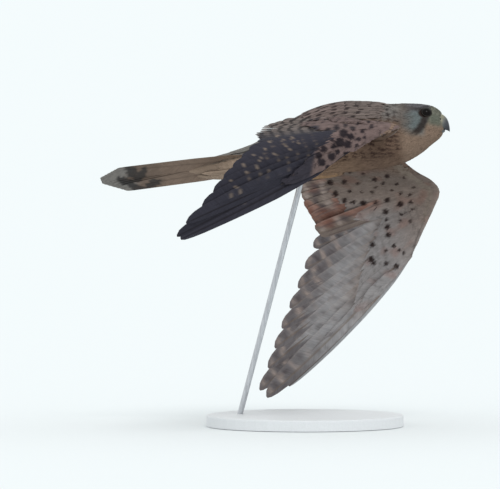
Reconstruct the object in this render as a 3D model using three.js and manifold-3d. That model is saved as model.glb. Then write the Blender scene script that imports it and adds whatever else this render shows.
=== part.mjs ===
// A male common kestrel in flight, wings bent and drooping, held over a round base by one rod.
// Millimetres, +Z up. The bird is drawn in its own frame: X towards the bill, Y to its left,
// Z towards its back, with the origin between the shoulders. It is then banked and turned on the rod.
import * as THREE from 'three';
import Module from 'manifold-3d';
import { mergeVertices } from 'three/addons/utils/BufferGeometryUtils.js';

const wasm = await Module();
wasm.setup();

const { degToRad, lerp } = THREE.MathUtils;

// Driving dimensions
const GAP = 0.3; // clearance between neighbouring pieces
const BASE_RADIUS = 88;
const BASE_HEIGHT = 10;
const BASE_EDGE = 1.5; // rounding of the base's rim
const ROD_RADIUS = 2.5;
const ROD_SOCKET = 11; // depth of the rod in the belly
const FOOT_SOCKET = 6; // depth of the rod in the base
const BIRD_AT = new THREE.Vector3(58, 8, 257); // shoulder origin above the base's centre
const ROD_FOOT = new THREE.Vector3(-58, 11, BASE_HEIGHT); // where the rod stands on the base
const ROD_ENTRY = [-62, 0, -21]; // where the rod meets the belly, in the bird's frame
const HEADING = 8.7; // degrees, turned towards the viewer's side
const CLIMB = 8.7; // degrees, bill up
const BANK = 22; // degrees, right wing up

// The body's outline: station along X, height of the back, height of the belly, half width
const BODY = [
  [68, 9.5, -3.5, 3.6],
  [66, 13, -6.6, 6],
  [62.5, 17, -9.6, 8.8],
  [58, 20.8, -11.6, 11.8],
  [53, 23, -13.8, 14.2],
  [46, 24.7, -18, 16.6],
  [38, 25.6, -23, 18],
  [30, 27, -26.6, 20.5],
  [18, 28.8, -28.6, 24.6],
  [0, 32.2, -29, 27.5],
  [-20, 34.7, -28, 28],
  [-40, 33.8, -26, 26.6],
  [-60, 29.2, -23.5, 23.4],
  [-76, 22.8, -21.8, 19.2],
  [-92, 13.8, -20.8, 15],
  [-110, 7.6, -20, 13.5],
  [-130, 3.8, -18, 11.5],
  [-150, 1, -14.5, 8.5],
  [-166, -2, -9, 3.5],
];
const BODY_SIDES = 20; // points round one section of the body
const BODY_STEPS = 2; // sections between two stations
const NECK_FRONT = 31;
const NECK_BACK = 20;
const TAIL_ROOT = -95;

// The head's own frame: its place in the body and how far it looks down
const HEAD_AT = [42, 0, 7];
const HEAD_DOWN = 10; // degrees
const EYE = { x: 11.2, y: 8.9, z: 6.4, radius: 6.2 };
const LID = { radius: 5.2, thick: 1.1, out: 2.7, facing: [0.3, 0.92, 0.22] };
const BROW = { x: 9.5, y: 10.6, z: 11.7, length: 6.8, width: 2.2, height: 1.6 };
const NOSTRIL = { x: 24, y: 5.4, z: 3.4, radius: 1 };
const MOUTH = { x: 12.5, z: -4.9, height: 0.6, width: 40 };
// Bill sections: forward, top, bottom, half width
const BILL_UPPER = [
  [18.6, 9.7, -4.3, 7.2],
  [21.5, 9, -4.6, 6.3],
  [24.5, 7.8, -4.8, 5.2],
  [27, 6.1, -4.9, 4.1],
  [29, 3.8, -5.2, 3.1],
  [30.6, 0.8, -5.9, 2.1],
  [31.6, -3, -6.5, 1.1],
];
const BILL_LOWER = [
  [18.6, -4.7, -9.6, 5.6],
  [22, -5, -9.3, 4.7],
  [25.5, -5.2, -8.5, 3.5],
  [28, -5.5, -7.6, 2.3],
  [29.2, -5.8, -6.9, 1.2],
];
const BILL_SIDES = 12;

// Wings: joints and feather tips in the bird's frame, with Y counted outwards on both sides
const WINGS = {
  left: {
    side: 1,
    finger: [9.5, 107.3, -78],
    secondaryTips: [[-78, 124, -38], [-85, 103, -18], [-89, 47, 9]],
    primaryTips: [[-85, 145, -42], [-125, 180, -101], [-149, 208.5, -154.5]],
    outerTip: [-127.5, 206, -148],
    sweep: 3.5,
    layer: 0.45,
  },
  right: {
    side: -1,
    finger: [1, 124, -54.6],
    secondaryTips: [[-74, 138, -40], [-84, 105, -20], [-89, 47, 9]],
    primaryTips: [[-75, 157, -47], [-103, 206, -97], [-146.5, 212.5, -146.5]],
    outerTip: [-143.5, 209, -149],
    sweep: 0.5,
    layer: 1.3,
  },
};
const SHOULDER = [-26, 26, 12];
const ELBOW = [-14, 60, -7];
const WRIST = [39, 89, -27];
// Flesh of the arm: leading edge, rear edge and half thickness at each section
const ARM_FLESH = [
  { lead: [14, 14, -2], rear: [-38, 12, 18], thick: 10 },
  { lead: [19, 26, -11], rear: [-34, 30, 12], thick: 9 },
  { lead: [24, 38, -15.5], rear: [-30, 44, 5], thick: 7.5 },
  { lead: [31.5, 55, -20], rear: [-26, 60, -3], thick: 6 },
  { lead: [38.5, 71, -22.5], rear: [-12, 74, -11], thick: 5.5 },
  { lead: [41.5, 88, -27], rear: [8, 90, -22], thick: 5 },
];
// Flesh of the hand: place between wrist and finger end, edge ahead of the bones, chord, half thickness
const HAND_FLESH = [
  [0.3, 5.5, 27, 4.4],
  [0.65, 3, 20, 3.6],
  [1, 0.5, 10, 2.2],
];
const FLESH_SIDES = 12;

// Flight feathers: widths before and behind the shaft, thickness, tilt in degrees; the outermost
// primary is only `edge` wide before its shaft
const PRIMARIES = { count: 10, lead: 6, edge: 6, trail: 13, thick: 0.55, tilt: 8 };
const SECONDARIES = { count: 10, lead: 8, trail: 14, thick: 0.6, tilt: 9 };
// Tips of the innermost feathers, which grow on the upper arm and close the wing to the back
const TERTIAL_TIPS = [[-74, 33, 17], [-81, 37, 14.5], [-86, 42, 12]];
const ROOT_BACK = 6; // the roots of the flight feathers stand this far behind the bones
const NINTH_BUT_ONE = 1.03; // the eighth primary's length against the even curve
const VANE_STEPS = [0, 0.2, 0.45, 0.72, 0.92, 1];
const VANE_WIDTHS = [0.4, 0.8, 1, 0.97, 0.72, 0.25];
const UNEVEN = 1.2; // how much one feather's tip differs from the even curve

// Covert tiers over and under the wing: the flight feathers that carry one, counted from the body,
// share of each that is covered, height over the flight feathers, widths
const COVERTS = [
  { face: 1, first: 3, last: 12, every: 2, share: 0.46, high: 3.4, lead: 7, trail: 8 },
  { face: 1, first: 4, last: 12, every: 3, share: 0.32, high: 4.8, lead: 9, trail: 9 },
  { face: 1, first: 14, last: 20, every: 3, share: 0.38, high: 4.4, lead: 6, trail: 11 },
  { face: -1, first: 3, last: 12, every: 3, share: 0.44, high: 3.8, lead: 9, trail: 10 },
  { face: -1, first: 14, last: 18, every: 4, share: 0.36, high: 4.2, lead: 7, trail: 12 },
];
const COVERT_ROOT = { share: 0.08, high: 2.2 }; // where a covert starts, sunk in the flesh
const COVERT_THICK = 0.6;
const COVERT_STEPS = [0, 0.5, 0.85, 1];
const COVERT_WIDTHS = [0.35, 1, 0.85, 0.35];
const ALULA = { lengths: [52, 40], lead: 3.5, trail: 6.5, turn: 10, step: 0.1, layer: 1 };

// Feathers that lie on the body: place and angle round it at root and tip, half width, height
const SCAPULARS = [
  { root: [14, 70], tip: [-40, 66], half: 4.6, rise: 2.1 },
  { root: [12, 50], tip: [-46, 47], half: 4.6, rise: 2.1 },
  { root: [8, 30], tip: [-50, 30], half: 4.6, rise: 2.1 },
  { root: [-22, 60], tip: [-66, 56], half: 5.5, rise: 0.95 },
  { root: [-28, 38], tip: [-74, 36], half: 5.5, rise: 0.95 },
];
const TAIL_COVERTS = [
  { root: [-100, 62], tip: [-146, 60], half: 5, rise: 1 },
  { root: [-100, -62], tip: [-154, -60], half: 5, rise: 1 },
];
const BODY_FEATHER = { thick: 0.6, sink: -1.5, steps: [0, 0.2, 0.65, 0.92, 1], widths: [0.6, 1, 1, 0.75, 0.25] };

// Tail: twelve feathers, nearly closed, twisted a little against the body
const TAIL = {
  pairs: 6,
  root: [-99, 0, -5],
  tipX: -244,
  tipZ: -4.5,
  step: 3, // each outer feather is this much shorter
  spread: 2.4, // sideways step from tip to tip
  layer: 0.55,
  half: 8.5,
  thick: 0.65,
  twist: 14, // degrees
};

const THIGH = { from: [-30, 14, -17], to: [-71, 9, -22.5], radii: [9, 8.4, 6.2, 3.6] };
const TARSUS = { from: [-68, 9, -22.8], to: [-104, 10, -25.4], radius: 2 };
const TOES = [
  { turn: -15, length: 19, radius: 1.6 },
  { turn: 0, length: 23, radius: 1.7 },
  { turn: 15, length: 18, radius: 1.6 },
];
const BACK_TOE = { length: 11, radius: 1.5 };
const CLAW = 7.5;

const COLOURS = {
  back: 0xa0603c,
  breast: 0xc99a6c,
  head: 0x8f949c,
  bill: 0x39424e,
  eye: 0x120d0b,
  wing: 0x4a3a34,
  tail: 0x9d9a96,
  leg: 0xd9a520,
  stand: 0xd8dadb,
};

// Even spread of numbers from 0 to 1, the same every time
let seed = 7;
function chance() {
  seed = (seed * 16807) % 2147483647;
  return seed / 2147483647;
}

const point = (array) => new THREE.Vector3(...array);
const mix = (a, b, t) => new THREE.Vector3().lerpVectors(a, b, t);

// Closed meshes as solids

function solid(points, faces) {
  const geometry = new THREE.BufferGeometry();
  const numbers = points.flatMap((p) => p.toArray());
  geometry.setAttribute('position', new THREE.Float32BufferAttribute(numbers, 3));
  geometry.setIndex(faces.flat());
  return solidFrom(geometry);
}

function solidFrom(source) {
  const geometry = source.clone();
  geometry.deleteAttribute('normal');
  geometry.deleteAttribute('uv');
  const merged = mergeVertices(geometry, 1e-4);
  const vertProperties = merged.attributes.position.array;
  const corner = (i) => new THREE.Vector3().fromArray(vertProperties, 3 * i);
  const triangles = [];
  let volume = 0;
  const index = merged.index.array;
  for (let i = 0; i < index.length; i += 3) {
    const [a, b, c] = [index[i], index[i + 1], index[i + 2]];
    if (a === b || b === c || c === a) continue;
    triangles.push([a, b, c]);
    volume += corner(a).dot(corner(b).cross(corner(c)));
  }
  const facing = volume < 0 ? triangles.map(([a, b, c]) => [a, c, b]) : triangles;
  const triVerts = Uint32Array.from(facing.flat());
  return new wasm.Manifold(new wasm.Mesh({ numProp: 3, vertProperties, triVerts }));
}

// Rings of equal count joined into a skin, each end closed by a fan
function loft(rings) {
  const sides = rings[0].length;
  const points = rings.flat();
  const faces = [];
  for (let k = 0; k + 1 < rings.length; k += 1) {
    for (let j = 0; j < sides; j += 1) {
      const next = (j + 1) % sides;
      const [a, b] = [k * sides + j, k * sides + next];
      faces.push([a, b, b + sides], [a, b + sides, a + sides]);
    }
  }
  for (const [start, flip] of [[0, true], [(rings.length - 1) * sides, false]]) {
    const middle = new THREE.Vector3();
    for (let j = 0; j < sides; j += 1) middle.addScaledVector(points[start + j], 1 / sides);
    points.push(middle);
    for (let j = 0; j < sides; j += 1) {
      const [a, b] = [start + j, start + ((j + 1) % sides)];
      faces.push(flip ? [b, a, points.length - 1] : [a, b, points.length - 1]);
    }
  }
  return solid(points, faces);
}

// A thin plate over a grid of middle points, split alike on both faces
function plate(rows, normals, thickness) {
  const [high, wide] = [rows.length, rows[0].length];
  const points = [];
  for (const sign of [1, -1]) {
    rows.forEach((row, i) => row.forEach((p, j) => {
      points.push(p.clone().addScaledVector(normals[i][j], (sign * thickness(i, j)) / 2));
    }));
  }
  const at = (i, j) => i * wide + j;
  const under = high * wide;
  const faces = [];
  for (let i = 0; i + 1 < high; i += 1) {
    for (let j = 0; j + 1 < wide; j += 1) {
      const [a, b, c, d] = [at(i, j), at(i + 1, j), at(i + 1, j + 1), at(i, j + 1)];
      faces.push([a, b, c], [a, c, d]);
      faces.push([a + under, c + under, b + under], [a + under, d + under, c + under]);
    }
  }
  const rim = [];
  for (let j = 0; j + 1 < wide; j += 1) rim.push([at(0, j), at(0, j + 1)]);
  for (let i = 0; i + 1 < high; i += 1) rim.push([at(i, wide - 1), at(i + 1, wide - 1)]);
  for (let j = wide - 1; j > 0; j -= 1) rim.push([at(high - 1, j), at(high - 1, j - 1)]);
  for (let i = high - 1; i > 0; i -= 1) rim.push([at(i, 0), at(i - 1, 0)]);
  for (const [a, b] of rim) faces.push([a, b, b + under], [a, b + under, a + under]);
  return solid(points, faces);
}

// One feather vane from root to tip: `lead` points to its leading side, `up` to its upper face
function vane(feather) {
  const { root, tip, lead, up, leadWidth, trailWidth, thick, tilt = 0, sweep = 0 } = feather;
  const { steps = VANE_STEPS, widths = VANE_WIDTHS } = feather;
  const rows = [];
  const normals = [];
  const along = tip.clone().sub(root);
  const lift = degToRad(tilt);
  for (const [k, t] of steps.entries()) {
    const centre = root.clone().addScaledVector(along, t).addScaledVector(lead, sweep * 4 * t * (1 - t));
    const tangent = along.clone().addScaledVector(lead, sweep * 4 * (1 - 2 * t)).normalize();
    const flat = lead.clone().addScaledVector(tangent, -lead.dot(tangent)).normalize();
    const normal = new THREE.Vector3().crossVectors(tangent, flat).normalize();
    if (normal.dot(up) < 0) normal.negate();
    const across = flat.clone().multiplyScalar(Math.cos(lift)).addScaledVector(normal, Math.sin(lift));
    normal.multiplyScalar(Math.cos(lift)).addScaledVector(flat, -Math.sin(lift));
    const wide = widths[k];
    rows.push([
      centre.clone().addScaledVector(across, leadWidth * wide),
      centre.clone().addScaledVector(across, -trailWidth * wide),
    ]);
    normals.push([normal, normal]);
  }
  return plate(rows, normals, (i) => thick * lerp(1, 0.7, steps[i]));
}

function join(pieces) {
  return pieces.slice(1).reduce((sum, piece) => sum.add(piece), pieces[0]);
}

// The largest closed surface of a solid, with no hollow and no loose scrap
function whole(shape) {
  const pieces = shape.decompose();
  pieces.sort((a, b) => b.volume() - a.volume());
  return pieces[0];
}

function block(from, to) {
  const size = to.clone().sub(from);
  const geometry = new THREE.BoxGeometry(size.x, size.y, size.z);
  return solidFrom(geometry.translate(...mix(from, to, 0.5).toArray()));
}

function ball(centre, radius, wide = 16, high = 10) {
  const geometry = new THREE.SphereGeometry(radius, wide, high);
  return solidFrom(geometry.translate(centre.x, centre.y, centre.z));
}

// A tapering tube through the given points
function tube(points, radii, sides = 8) {
  const rings = points.map((p, k) => {
    const before = points[Math.max(k - 1, 0)];
    const after = points[Math.min(k + 1, points.length - 1)];
    const tangent = after.clone().sub(before).normalize();
    const turn = new THREE.Quaternion().setFromUnitVectors(new THREE.Vector3(0, 0, 1), tangent);
    return Array.from({ length: sides }, (_, j) => {
      const angle = (2 * Math.PI * j) / sides;
      const spoke = new THREE.Vector3(Math.cos(angle) * radii[k], Math.sin(angle) * radii[k], 0);
      return spoke.applyQuaternion(turn).add(p);
    });
  });
  return loft(rings);
}

// Smooth curve value through equally spaced or listed stations
function stationsBetween(stations, steps) {
  const list = [];
  const value = (k, j) => stations[Math.min(Math.max(k, 0), stations.length - 1)][j];
  for (let k = 0; k + 1 < stations.length; k += 1) {
    for (let s = 0; s < steps; s += 1) {
      const t = s / steps;
      list.push(stations[0].map((_, j) => {
        const [p0, p1, p2, p3] = [value(k - 1, j), value(k, j), value(k + 1, j), value(k + 2, j)];
        const [m1, m2] = [(p2 - p0) / 2, (p3 - p1) / 2];
        const [t2, t3] = [t * t, t * t * t];
        return (2 * t3 - 3 * t2 + 1) * p1 + (t3 - 2 * t2 + t) * m1
          + (3 * t2 - 2 * t3) * p2 + (t3 - t2) * m2;
      }));
    }
  }
  list.push(stations.at(-1));
  return list;
}

// Sections across X from stations of place, top, bottom and half width
function sectioned(stations, sides, grow = 0) {
  return loft(stations.map(([x, top, bottom, half]) => {
    const middle = (top + bottom) / 2;
    return Array.from({ length: sides }, (_, j) => {
      const angle = (2 * Math.PI * j) / sides;
      const height = (top - bottom) / 2 + grow;
      return new THREE.Vector3(x, (half + grow) * Math.cos(angle), middle + height * Math.sin(angle));
    });
  }));
}

// The body, whole, then parted

const bodyStations = stationsBetween(BODY, BODY_STEPS);
const bodyWhole = (grow = 0) => sectioned(bodyStations, BODY_SIDES, grow);
const between = (shape, back, front) => shape.intersect(
  block(new THREE.Vector3(back, -300, -300), new THREE.Vector3(front, 300, 300)),
);
const mirrored = (array, side) => new THREE.Vector3(array[0], side * array[1], array[2]);

function thigh(side, grow = 0) {
  const [from, to] = [mirrored(THIGH.from, side), mirrored(THIGH.to, side)];
  const points = THIGH.radii.map((_, k) => mix(from, to, k / (THIGH.radii.length - 1)));
  return tube(points, THIGH.radii.map((r) => r + grow), 10);
}

// A point over the body's surface: place along X, angle up from the side, height over the surface
function onBody(x, angle, out) {
  const k = bodyStations.findIndex(([at]) => at <= x);
  const [ahead, behind] = [bodyStations[k - 1], bodyStations[k]];
  const t = (ahead[0] - x) / (ahead[0] - behind[0]);
  const [, top, bottom, half] = ahead.map((value, j) => lerp(value, behind[j], t));
  const [c, s] = [Math.cos(degToRad(angle)), Math.sin(degToRad(angle))];
  return new THREE.Vector3(x, (half + out) * c, (top + bottom) / 2 + ((top - bottom) / 2 + out) * s);
}

// A feather that follows the body's surface, its root sunk in and its tip just off it
function bodyFeather({ root, tip, half, rise }, side, grow) {
  const rows = [];
  const normals = [];
  for (const [k, t] of BODY_FEATHER.steps.entries()) {
    const [x, angle] = [lerp(root[0], tip[0] - grow, t), lerp(root[1], tip[1], t)];
    const out = k === 0 ? BODY_FEATHER.sink : rise;
    const wide = half * BODY_FEATHER.widths[k] + grow;
    const middle = onBody(x, angle, out);
    const outward = onBody(x, angle, out + 1).sub(middle);
    const across = new THREE.Vector3(1, 0, 0).cross(outward);
    const row = [-1, 1].map((sign) => middle.clone().addScaledVector(across, sign * wide));
    rows.push(row.map((p) => mirrored(p.toArray(), side)));
    normals.push(row.map(() => mirrored(outward.toArray(), side)));
  }
  return plate(rows, normals, () => BODY_FEATHER.thick + 2 * grow);
}

const bodyFeathers = (list, grow = 0) => list.flatMap((feather) => [1, -1].map(
  (side) => bodyFeather(feather, side, grow),
));

function torsoShape() {
  const trunk = between(bodyWhole(), TAIL_ROOT + GAP / 2, NECK_BACK - GAP / 2);
  return join([trunk, thigh(1), thigh(-1), ...bodyFeathers(SCAPULARS)]);
}

// Everything that wings and legs must stay clear of
const bodyClear = () => join([
  bodyWhole(GAP),
  thigh(1, GAP),
  thigh(-1, GAP),
  ...bodyFeathers([...SCAPULARS, ...TAIL_COVERTS], GAP),
]);

// The head in its own frame, then set on the body

const headGroup = new THREE.Matrix4().makeRotationY(degToRad(HEAD_DOWN)).setPosition(...HEAD_AT);
const onHead = (shape) => shape.transform(headGroup.toArray());

function billShape(stations, grow = 0) {
  const reach = stations.map(([x, top, bottom, half]) => [x, top, bottom, half]);
  if (grow > 0) reach[0][0] -= grow;
  return onHead(sectioned(stationsBetween(reach, 2), BILL_SIDES, grow));
}

function eyeShape(side, grow = 0) {
  return onHead(ball(new THREE.Vector3(EYE.x, side * EYE.y, EYE.z), EYE.radius + grow, 12, 8));
}

function lid(side) {
  const facing = mirrored(LID.facing, side).normalize();
  const turn = new THREE.Quaternion().setFromUnitVectors(new THREE.Vector3(0, 0, 1), facing);
  const ring = new THREE.TorusGeometry(LID.radius, LID.thick, 5, 14).applyQuaternion(turn);
  const centre = new THREE.Vector3(EYE.x, side * EYE.y, EYE.z).addScaledVector(facing, LID.out);
  return onHead(solidFrom(ring.translate(centre.x, centre.y, centre.z)));
}

function brow(side) {
  const ridge = new THREE.SphereGeometry(1, 9, 6).scale(BROW.length, BROW.width, BROW.height);
  ridge.rotateY(degToRad(-4));
  return onHead(solidFrom(ridge.translate(BROW.x, side * BROW.y, BROW.z)));
}

function headShape() {
  let shape = between(bodyWhole(), NECK_FRONT + GAP / 2, 80);
  for (const side of [1, -1]) shape = shape.add(brow(side)).add(lid(side));
  for (const side of [1, -1]) shape = shape.subtract(eyeShape(side, GAP));
  shape = shape.subtract(billShape(BILL_UPPER, GAP)).subtract(billShape(BILL_LOWER, GAP));
  const mouth = block(
    new THREE.Vector3(MOUTH.x, -MOUTH.width / 2, MOUTH.z - MOUTH.height / 2),
    new THREE.Vector3(BILL_UPPER[0][0] + 1, MOUTH.width / 2, MOUTH.z + MOUTH.height / 2),
  );
  return whole(shape.subtract(onHead(mouth)));
}

function upperBill() {
  let shape = billShape(BILL_UPPER);
  for (const side of [1, -1]) {
    const hole = ball(new THREE.Vector3(NOSTRIL.x, side * NOSTRIL.y, NOSTRIL.z), NOSTRIL.radius, 8, 6);
    shape = shape.subtract(onHead(hole));
  }
  return whole(shape);
}

// Wings

// A point on the smooth curve through three control points
function bend([a, b, c], t) {
  const [wa, wb, wc] = [2 * (t - 0.5) * (t - 1), -4 * t * (t - 1), 2 * t * (t - 0.5)];
  return point(a).multiplyScalar(wa).addScaledVector(point(b), wb).addScaledVector(point(c), wc);
}

function wingFeathers(wing) {
  const [wrist, elbow, finger] = [point(WRIST), point(ELBOW), point(wing.finger)];
  const feathers = TERTIAL_TIPS.map((tip, k) => (
    { root: mix(point(SHOULDER), elbow, 0.3 + 0.25 * k), tip: point(tip), kind: SECONDARIES }
  ));
  for (let i = 0; i < SECONDARIES.count; i += 1) {
    const t = (SECONDARIES.count - 1 - i) / (SECONDARIES.count - 1);
    const root = mix(wrist, elbow, 0.04 + 0.92 * t);
    feathers.push({ root, tip: bend(wing.secondaryTips, t), kind: SECONDARIES });
  }
  for (let i = 0; i < PRIMARIES.count; i += 1) {
    const last = i === PRIMARIES.count - 1;
    const root = mix(wrist, finger, 0.08 + (0.9 * i) / (PRIMARIES.count - 1));
    const tip = last ? point(wing.outerTip) : bend(wing.primaryTips, i / (PRIMARIES.count - 2));
    if (i === PRIMARIES.count - 3) tip.sub(root).multiplyScalar(NINTH_BUT_ONE).add(root);
    feathers.push({ root, tip, kind: PRIMARIES });
  }
  for (const { root, tip } of feathers) {
    const back = tip.clone().sub(root).normalize();
    root.addScaledVector(back, ROOT_BACK);
    tip.addScaledVector(back, (chance() - 0.5) * 2 * UNEVEN);
  }
  feathers.forEach((feather, i) => {
    const [inner, outer] = [feathers[Math.max(i - 1, 0)], feathers[Math.min(i + 1, feathers.length - 1)]];
    const span = outer.root.clone().add(outer.tip).sub(inner.root).sub(inner.tip).normalize();
    const back = feather.tip.clone().sub(feather.root).normalize();
    feather.up = new THREE.Vector3().crossVectors(span, back).normalize();
    feather.lead = span;
    const down = i - (feathers.length - (PRIMARIES.count + 1) / 2);
    feather.height = feather.kind === PRIMARIES ? -wing.layer * down : 0;
  });
  return feathers;
}

function wingFlesh(wing, feathers) {
  const stations = ARM_FLESH.map(({ lead, rear, thick }) => ({ lead: point(lead), rear: point(rear), thick }));
  for (const [t, ahead, chord, thick] of HAND_FLESH) {
    const bone = mix(point(WRIST), point(wing.finger), t);
    const near = (feather) => feather.root.distanceTo(bone);
    const nearest = feathers.reduce((best, feather) => (near(feather) < near(best) ? feather : best));
    const back = nearest.tip.clone().sub(nearest.root).normalize();
    const lead = bone.clone().addScaledVector(back, -ahead);
    stations.push({ lead, rear: bone.addScaledVector(back, chord - ahead), thick });
  }
  return loft(stations.map(({ lead, rear, thick }, k) => {
    const before = stations[Math.max(k - 1, 0)];
    const after = stations[Math.min(k + 1, stations.length - 1)];
    const span = after.lead.clone().add(after.rear).sub(before.lead).sub(before.rear);
    const fore = lead.clone().sub(rear).multiplyScalar(0.5);
    const up = new THREE.Vector3().crossVectors(fore, span).normalize();
    const centre = mix(lead, rear, 0.5);
    return Array.from({ length: FLESH_SIDES }, (_, j) => {
      const angle = (2 * Math.PI * j) / FLESH_SIDES;
      return centre.clone().addScaledVector(fore, Math.cos(angle))
        .addScaledVector(up, thick * Math.sin(angle));
    });
  }));
}

// One tier of coverts, each lying along the flight feather that it covers
function covertTier(wing, feathers, tier) {
  const coverts = [];
  for (let i = tier.first; i <= tier.last; i += tier.every) {
    const { root, tip, up, lead, kind } = feathers[i];
    const pile = kind === PRIMARIES ? (wing.layer * PRIMARIES.count) / 4 : 0;
    const start = mix(root, tip, COVERT_ROOT.share);
    const end = mix(root, tip, tier.share + (chance() - 0.5) * 0.02);
    coverts.push(vane({
      root: start.addScaledVector(up, tier.face * COVERT_ROOT.high),
      tip: end.addScaledVector(up, tier.face * (tier.high + pile)),
      up,
      lead,
      leadWidth: tier.lead,
      trailWidth: tier.trail,
      thick: COVERT_THICK,
      tilt: kind.tilt,
      steps: COVERT_STEPS,
      widths: COVERT_WIDTHS,
    }));
  }
  return coverts;
}

// The three feathers of the thumb, lying along the hand's leading edge
function alulaFeathers(wing, feathers) {
  const { up, lead, root, tip } = feathers.at(-1);
  const [wrist, finger] = [point(WRIST), point(wing.finger)];
  const hand = finger.clone().sub(wrist).normalize();
  const back = tip.clone().sub(root).normalize();
  const way = mix(hand, back, ALULA.turn / 45).normalize();
  return ALULA.lengths.map((length, k) => {
    const start = mix(wrist, finger, 0.1 + ALULA.step * k).addScaledVector(back, 3);
    start.addScaledVector(up, 1 + ALULA.layer * k);
    return vane({
      root: start,
      tip: start.clone().addScaledVector(way, length).addScaledVector(up, 2),
      up,
      lead,
      leadWidth: ALULA.lead,
      trailWidth: ALULA.trail,
      thick: COVERT_THICK,
      tilt: PRIMARIES.tilt,
      steps: COVERT_STEPS,
      widths: COVERT_WIDTHS,
    });
  });
}

function wingShape(wing) {
  const feathers = wingFeathers(wing);
  const pieces = [wingFlesh(wing, feathers)];
  for (const feather of feathers) {
    const { root, tip, up, lead, kind, height } = feather;
    const outermost = feather === feathers.at(-1);
    pieces.push(vane({
      root: root.clone().addScaledVector(up, height),
      tip,
      up,
      lead,
      leadWidth: outermost ? kind.edge : kind.lead,
      trailWidth: kind.trail,
      thick: kind.thick,
      tilt: kind.tilt,
      sweep: kind === PRIMARIES ? wing.sweep : 0,
    }));
  }
  for (const tier of COVERTS) pieces.push(...covertTier(wing, feathers, tier));
  pieces.push(...alulaFeathers(wing, feathers));
  const shape = join(pieces);
  const flip = new THREE.Matrix4().makeScale(1, wing.side, 1);
  return whole(shape.transform(flip.toArray()).subtract(bodyClear()));
}

// Tail

function tailShape() {
  const core = between(bodyWhole(), -200, TAIL_ROOT - GAP / 2);
  const twist = new THREE.Matrix4().makeRotationX(degToRad(-TAIL.twist));
  const vanes = [];
  for (let k = 0; k < TAIL.pairs; k += 1) {
    for (const side of [1, -1]) {
      const sideways = side * (0.8 + TAIL.spread * (k + 0.5));
      const drop = -TAIL.layer * (k + (side > 0 ? 0 : 0.5));
      const root = point(TAIL.root).add(new THREE.Vector3(0, sideways * 0.35, drop));
      const tip = new THREE.Vector3(TAIL.tipX + TAIL.step * k, sideways, TAIL.tipZ + drop);
      vanes.push(vane({
        root: root.applyMatrix4(twist),
        tip: tip.applyMatrix4(twist),
        up: new THREE.Vector3(0, 0, 1).applyMatrix4(twist),
        lead: new THREE.Vector3(0, side, 0).applyMatrix4(twist),
        leadWidth: TAIL.half,
        trailWidth: TAIL.half,
        thick: TAIL.thick,
      }));
    }
  }
  return whole(join([core, ...vanes, ...bodyFeathers(TAIL_COVERTS)]));
}

// Legs, tucked back under the tail

function toe(start, turn, length, radius, side) {
  const heading = new THREE.Vector3(-1, 0, 0).applyAxisAngle(new THREE.Vector3(0, 0, 1), degToRad(turn * side));
  const points = [0, 0.4, 0.75, 1].map((t) => {
    const p = start.clone().addScaledVector(heading, length * t);
    p.z -= 0.14 * length * t * t;
    return p;
  });
  const radii = [1.05, 1, 0.95, 0.75].map((f) => radius * f);
  const tipTurn = [0.45, 0.85, 1].map((t) => {
    const p = points[3].clone().addScaledVector(heading, CLAW * 0.7 * t);
    p.z -= CLAW * 0.75 * t * t;
    return p;
  });
  return tube([...points, ...tipTurn], [...radii, radius * 0.6, radius * 0.35, 0.25], 6);
}

function legShape(side) {
  const [from, to] = [mirrored(TARSUS.from, side), mirrored(TARSUS.to, side)];
  const shank = [0, 0.35, 0.7, 1].map((t) => mix(from, to, t));
  const pieces = [tube(shank, [1.05, 0.95, 1, 1.25].map((f) => f * TARSUS.radius), 8)];
  const foot = to.clone();
  pieces.push(ball(foot, TARSUS.radius * 1.35, 8, 6));
  for (const { turn, length, radius } of TOES) pieces.push(toe(foot, turn, length, radius, side));
  const hind = foot.clone().add(new THREE.Vector3(0, 0, -1));
  const curl = [0, 0.5, 1].map((t) => new THREE.Vector3(
    hind.x + BACK_TOE.length * t * 0.8,
    hind.y - side * t * 2,
    hind.z - 1.5 * Math.sin(t * 2.2),
  ));
  const claw = curl[2].clone().add(new THREE.Vector3(2.5, 0, -2.5));
  pieces.push(tube([...curl, claw], [1, 0.95, 0.6, 0.18].map((f) => f * BACK_TOE.radius), 7));
  return whole(join(pieces).subtract(bodyClear()));
}

// Stand

function standBase() {
  const arc = [0, 30, 60, 90].map((a) => new THREE.Vector2(
    BASE_RADIUS - BASE_EDGE + BASE_EDGE * Math.cos(degToRad(a)),
    BASE_HEIGHT - BASE_EDGE + BASE_EDGE * Math.sin(degToRad(a)),
  ));
  const profile = [new THREE.Vector2(0, 0), new THREE.Vector2(BASE_RADIUS, 0), ...arc];
  const disc = new THREE.LatheGeometry([...profile, new THREE.Vector2(0, BASE_HEIGHT)], 48);
  return solidFrom(disc.rotateX(Math.PI / 2));
}

const bird = new THREE.Group();
bird.position.copy(BIRD_AT);
bird.rotation.set(degToRad(-BANK), degToRad(-CLIMB), degToRad(-HEADING), 'ZYX');
bird.updateMatrixWorld();

const rodEntry = point(ROD_ENTRY).applyMatrix4(bird.matrixWorld);
const rodWay = rodEntry.clone().sub(ROD_FOOT).normalize();

function rodShape(grow = 0) {
  const foot = ROD_FOOT.clone().addScaledVector(rodWay, -FOOT_SOCKET - grow);
  const end = rodEntry.clone().addScaledVector(rodWay, ROD_SOCKET + grow);
  return tube([foot, end], [ROD_RADIUS + grow, ROD_RADIUS + grow], 16);
}

// The scene graph

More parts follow.
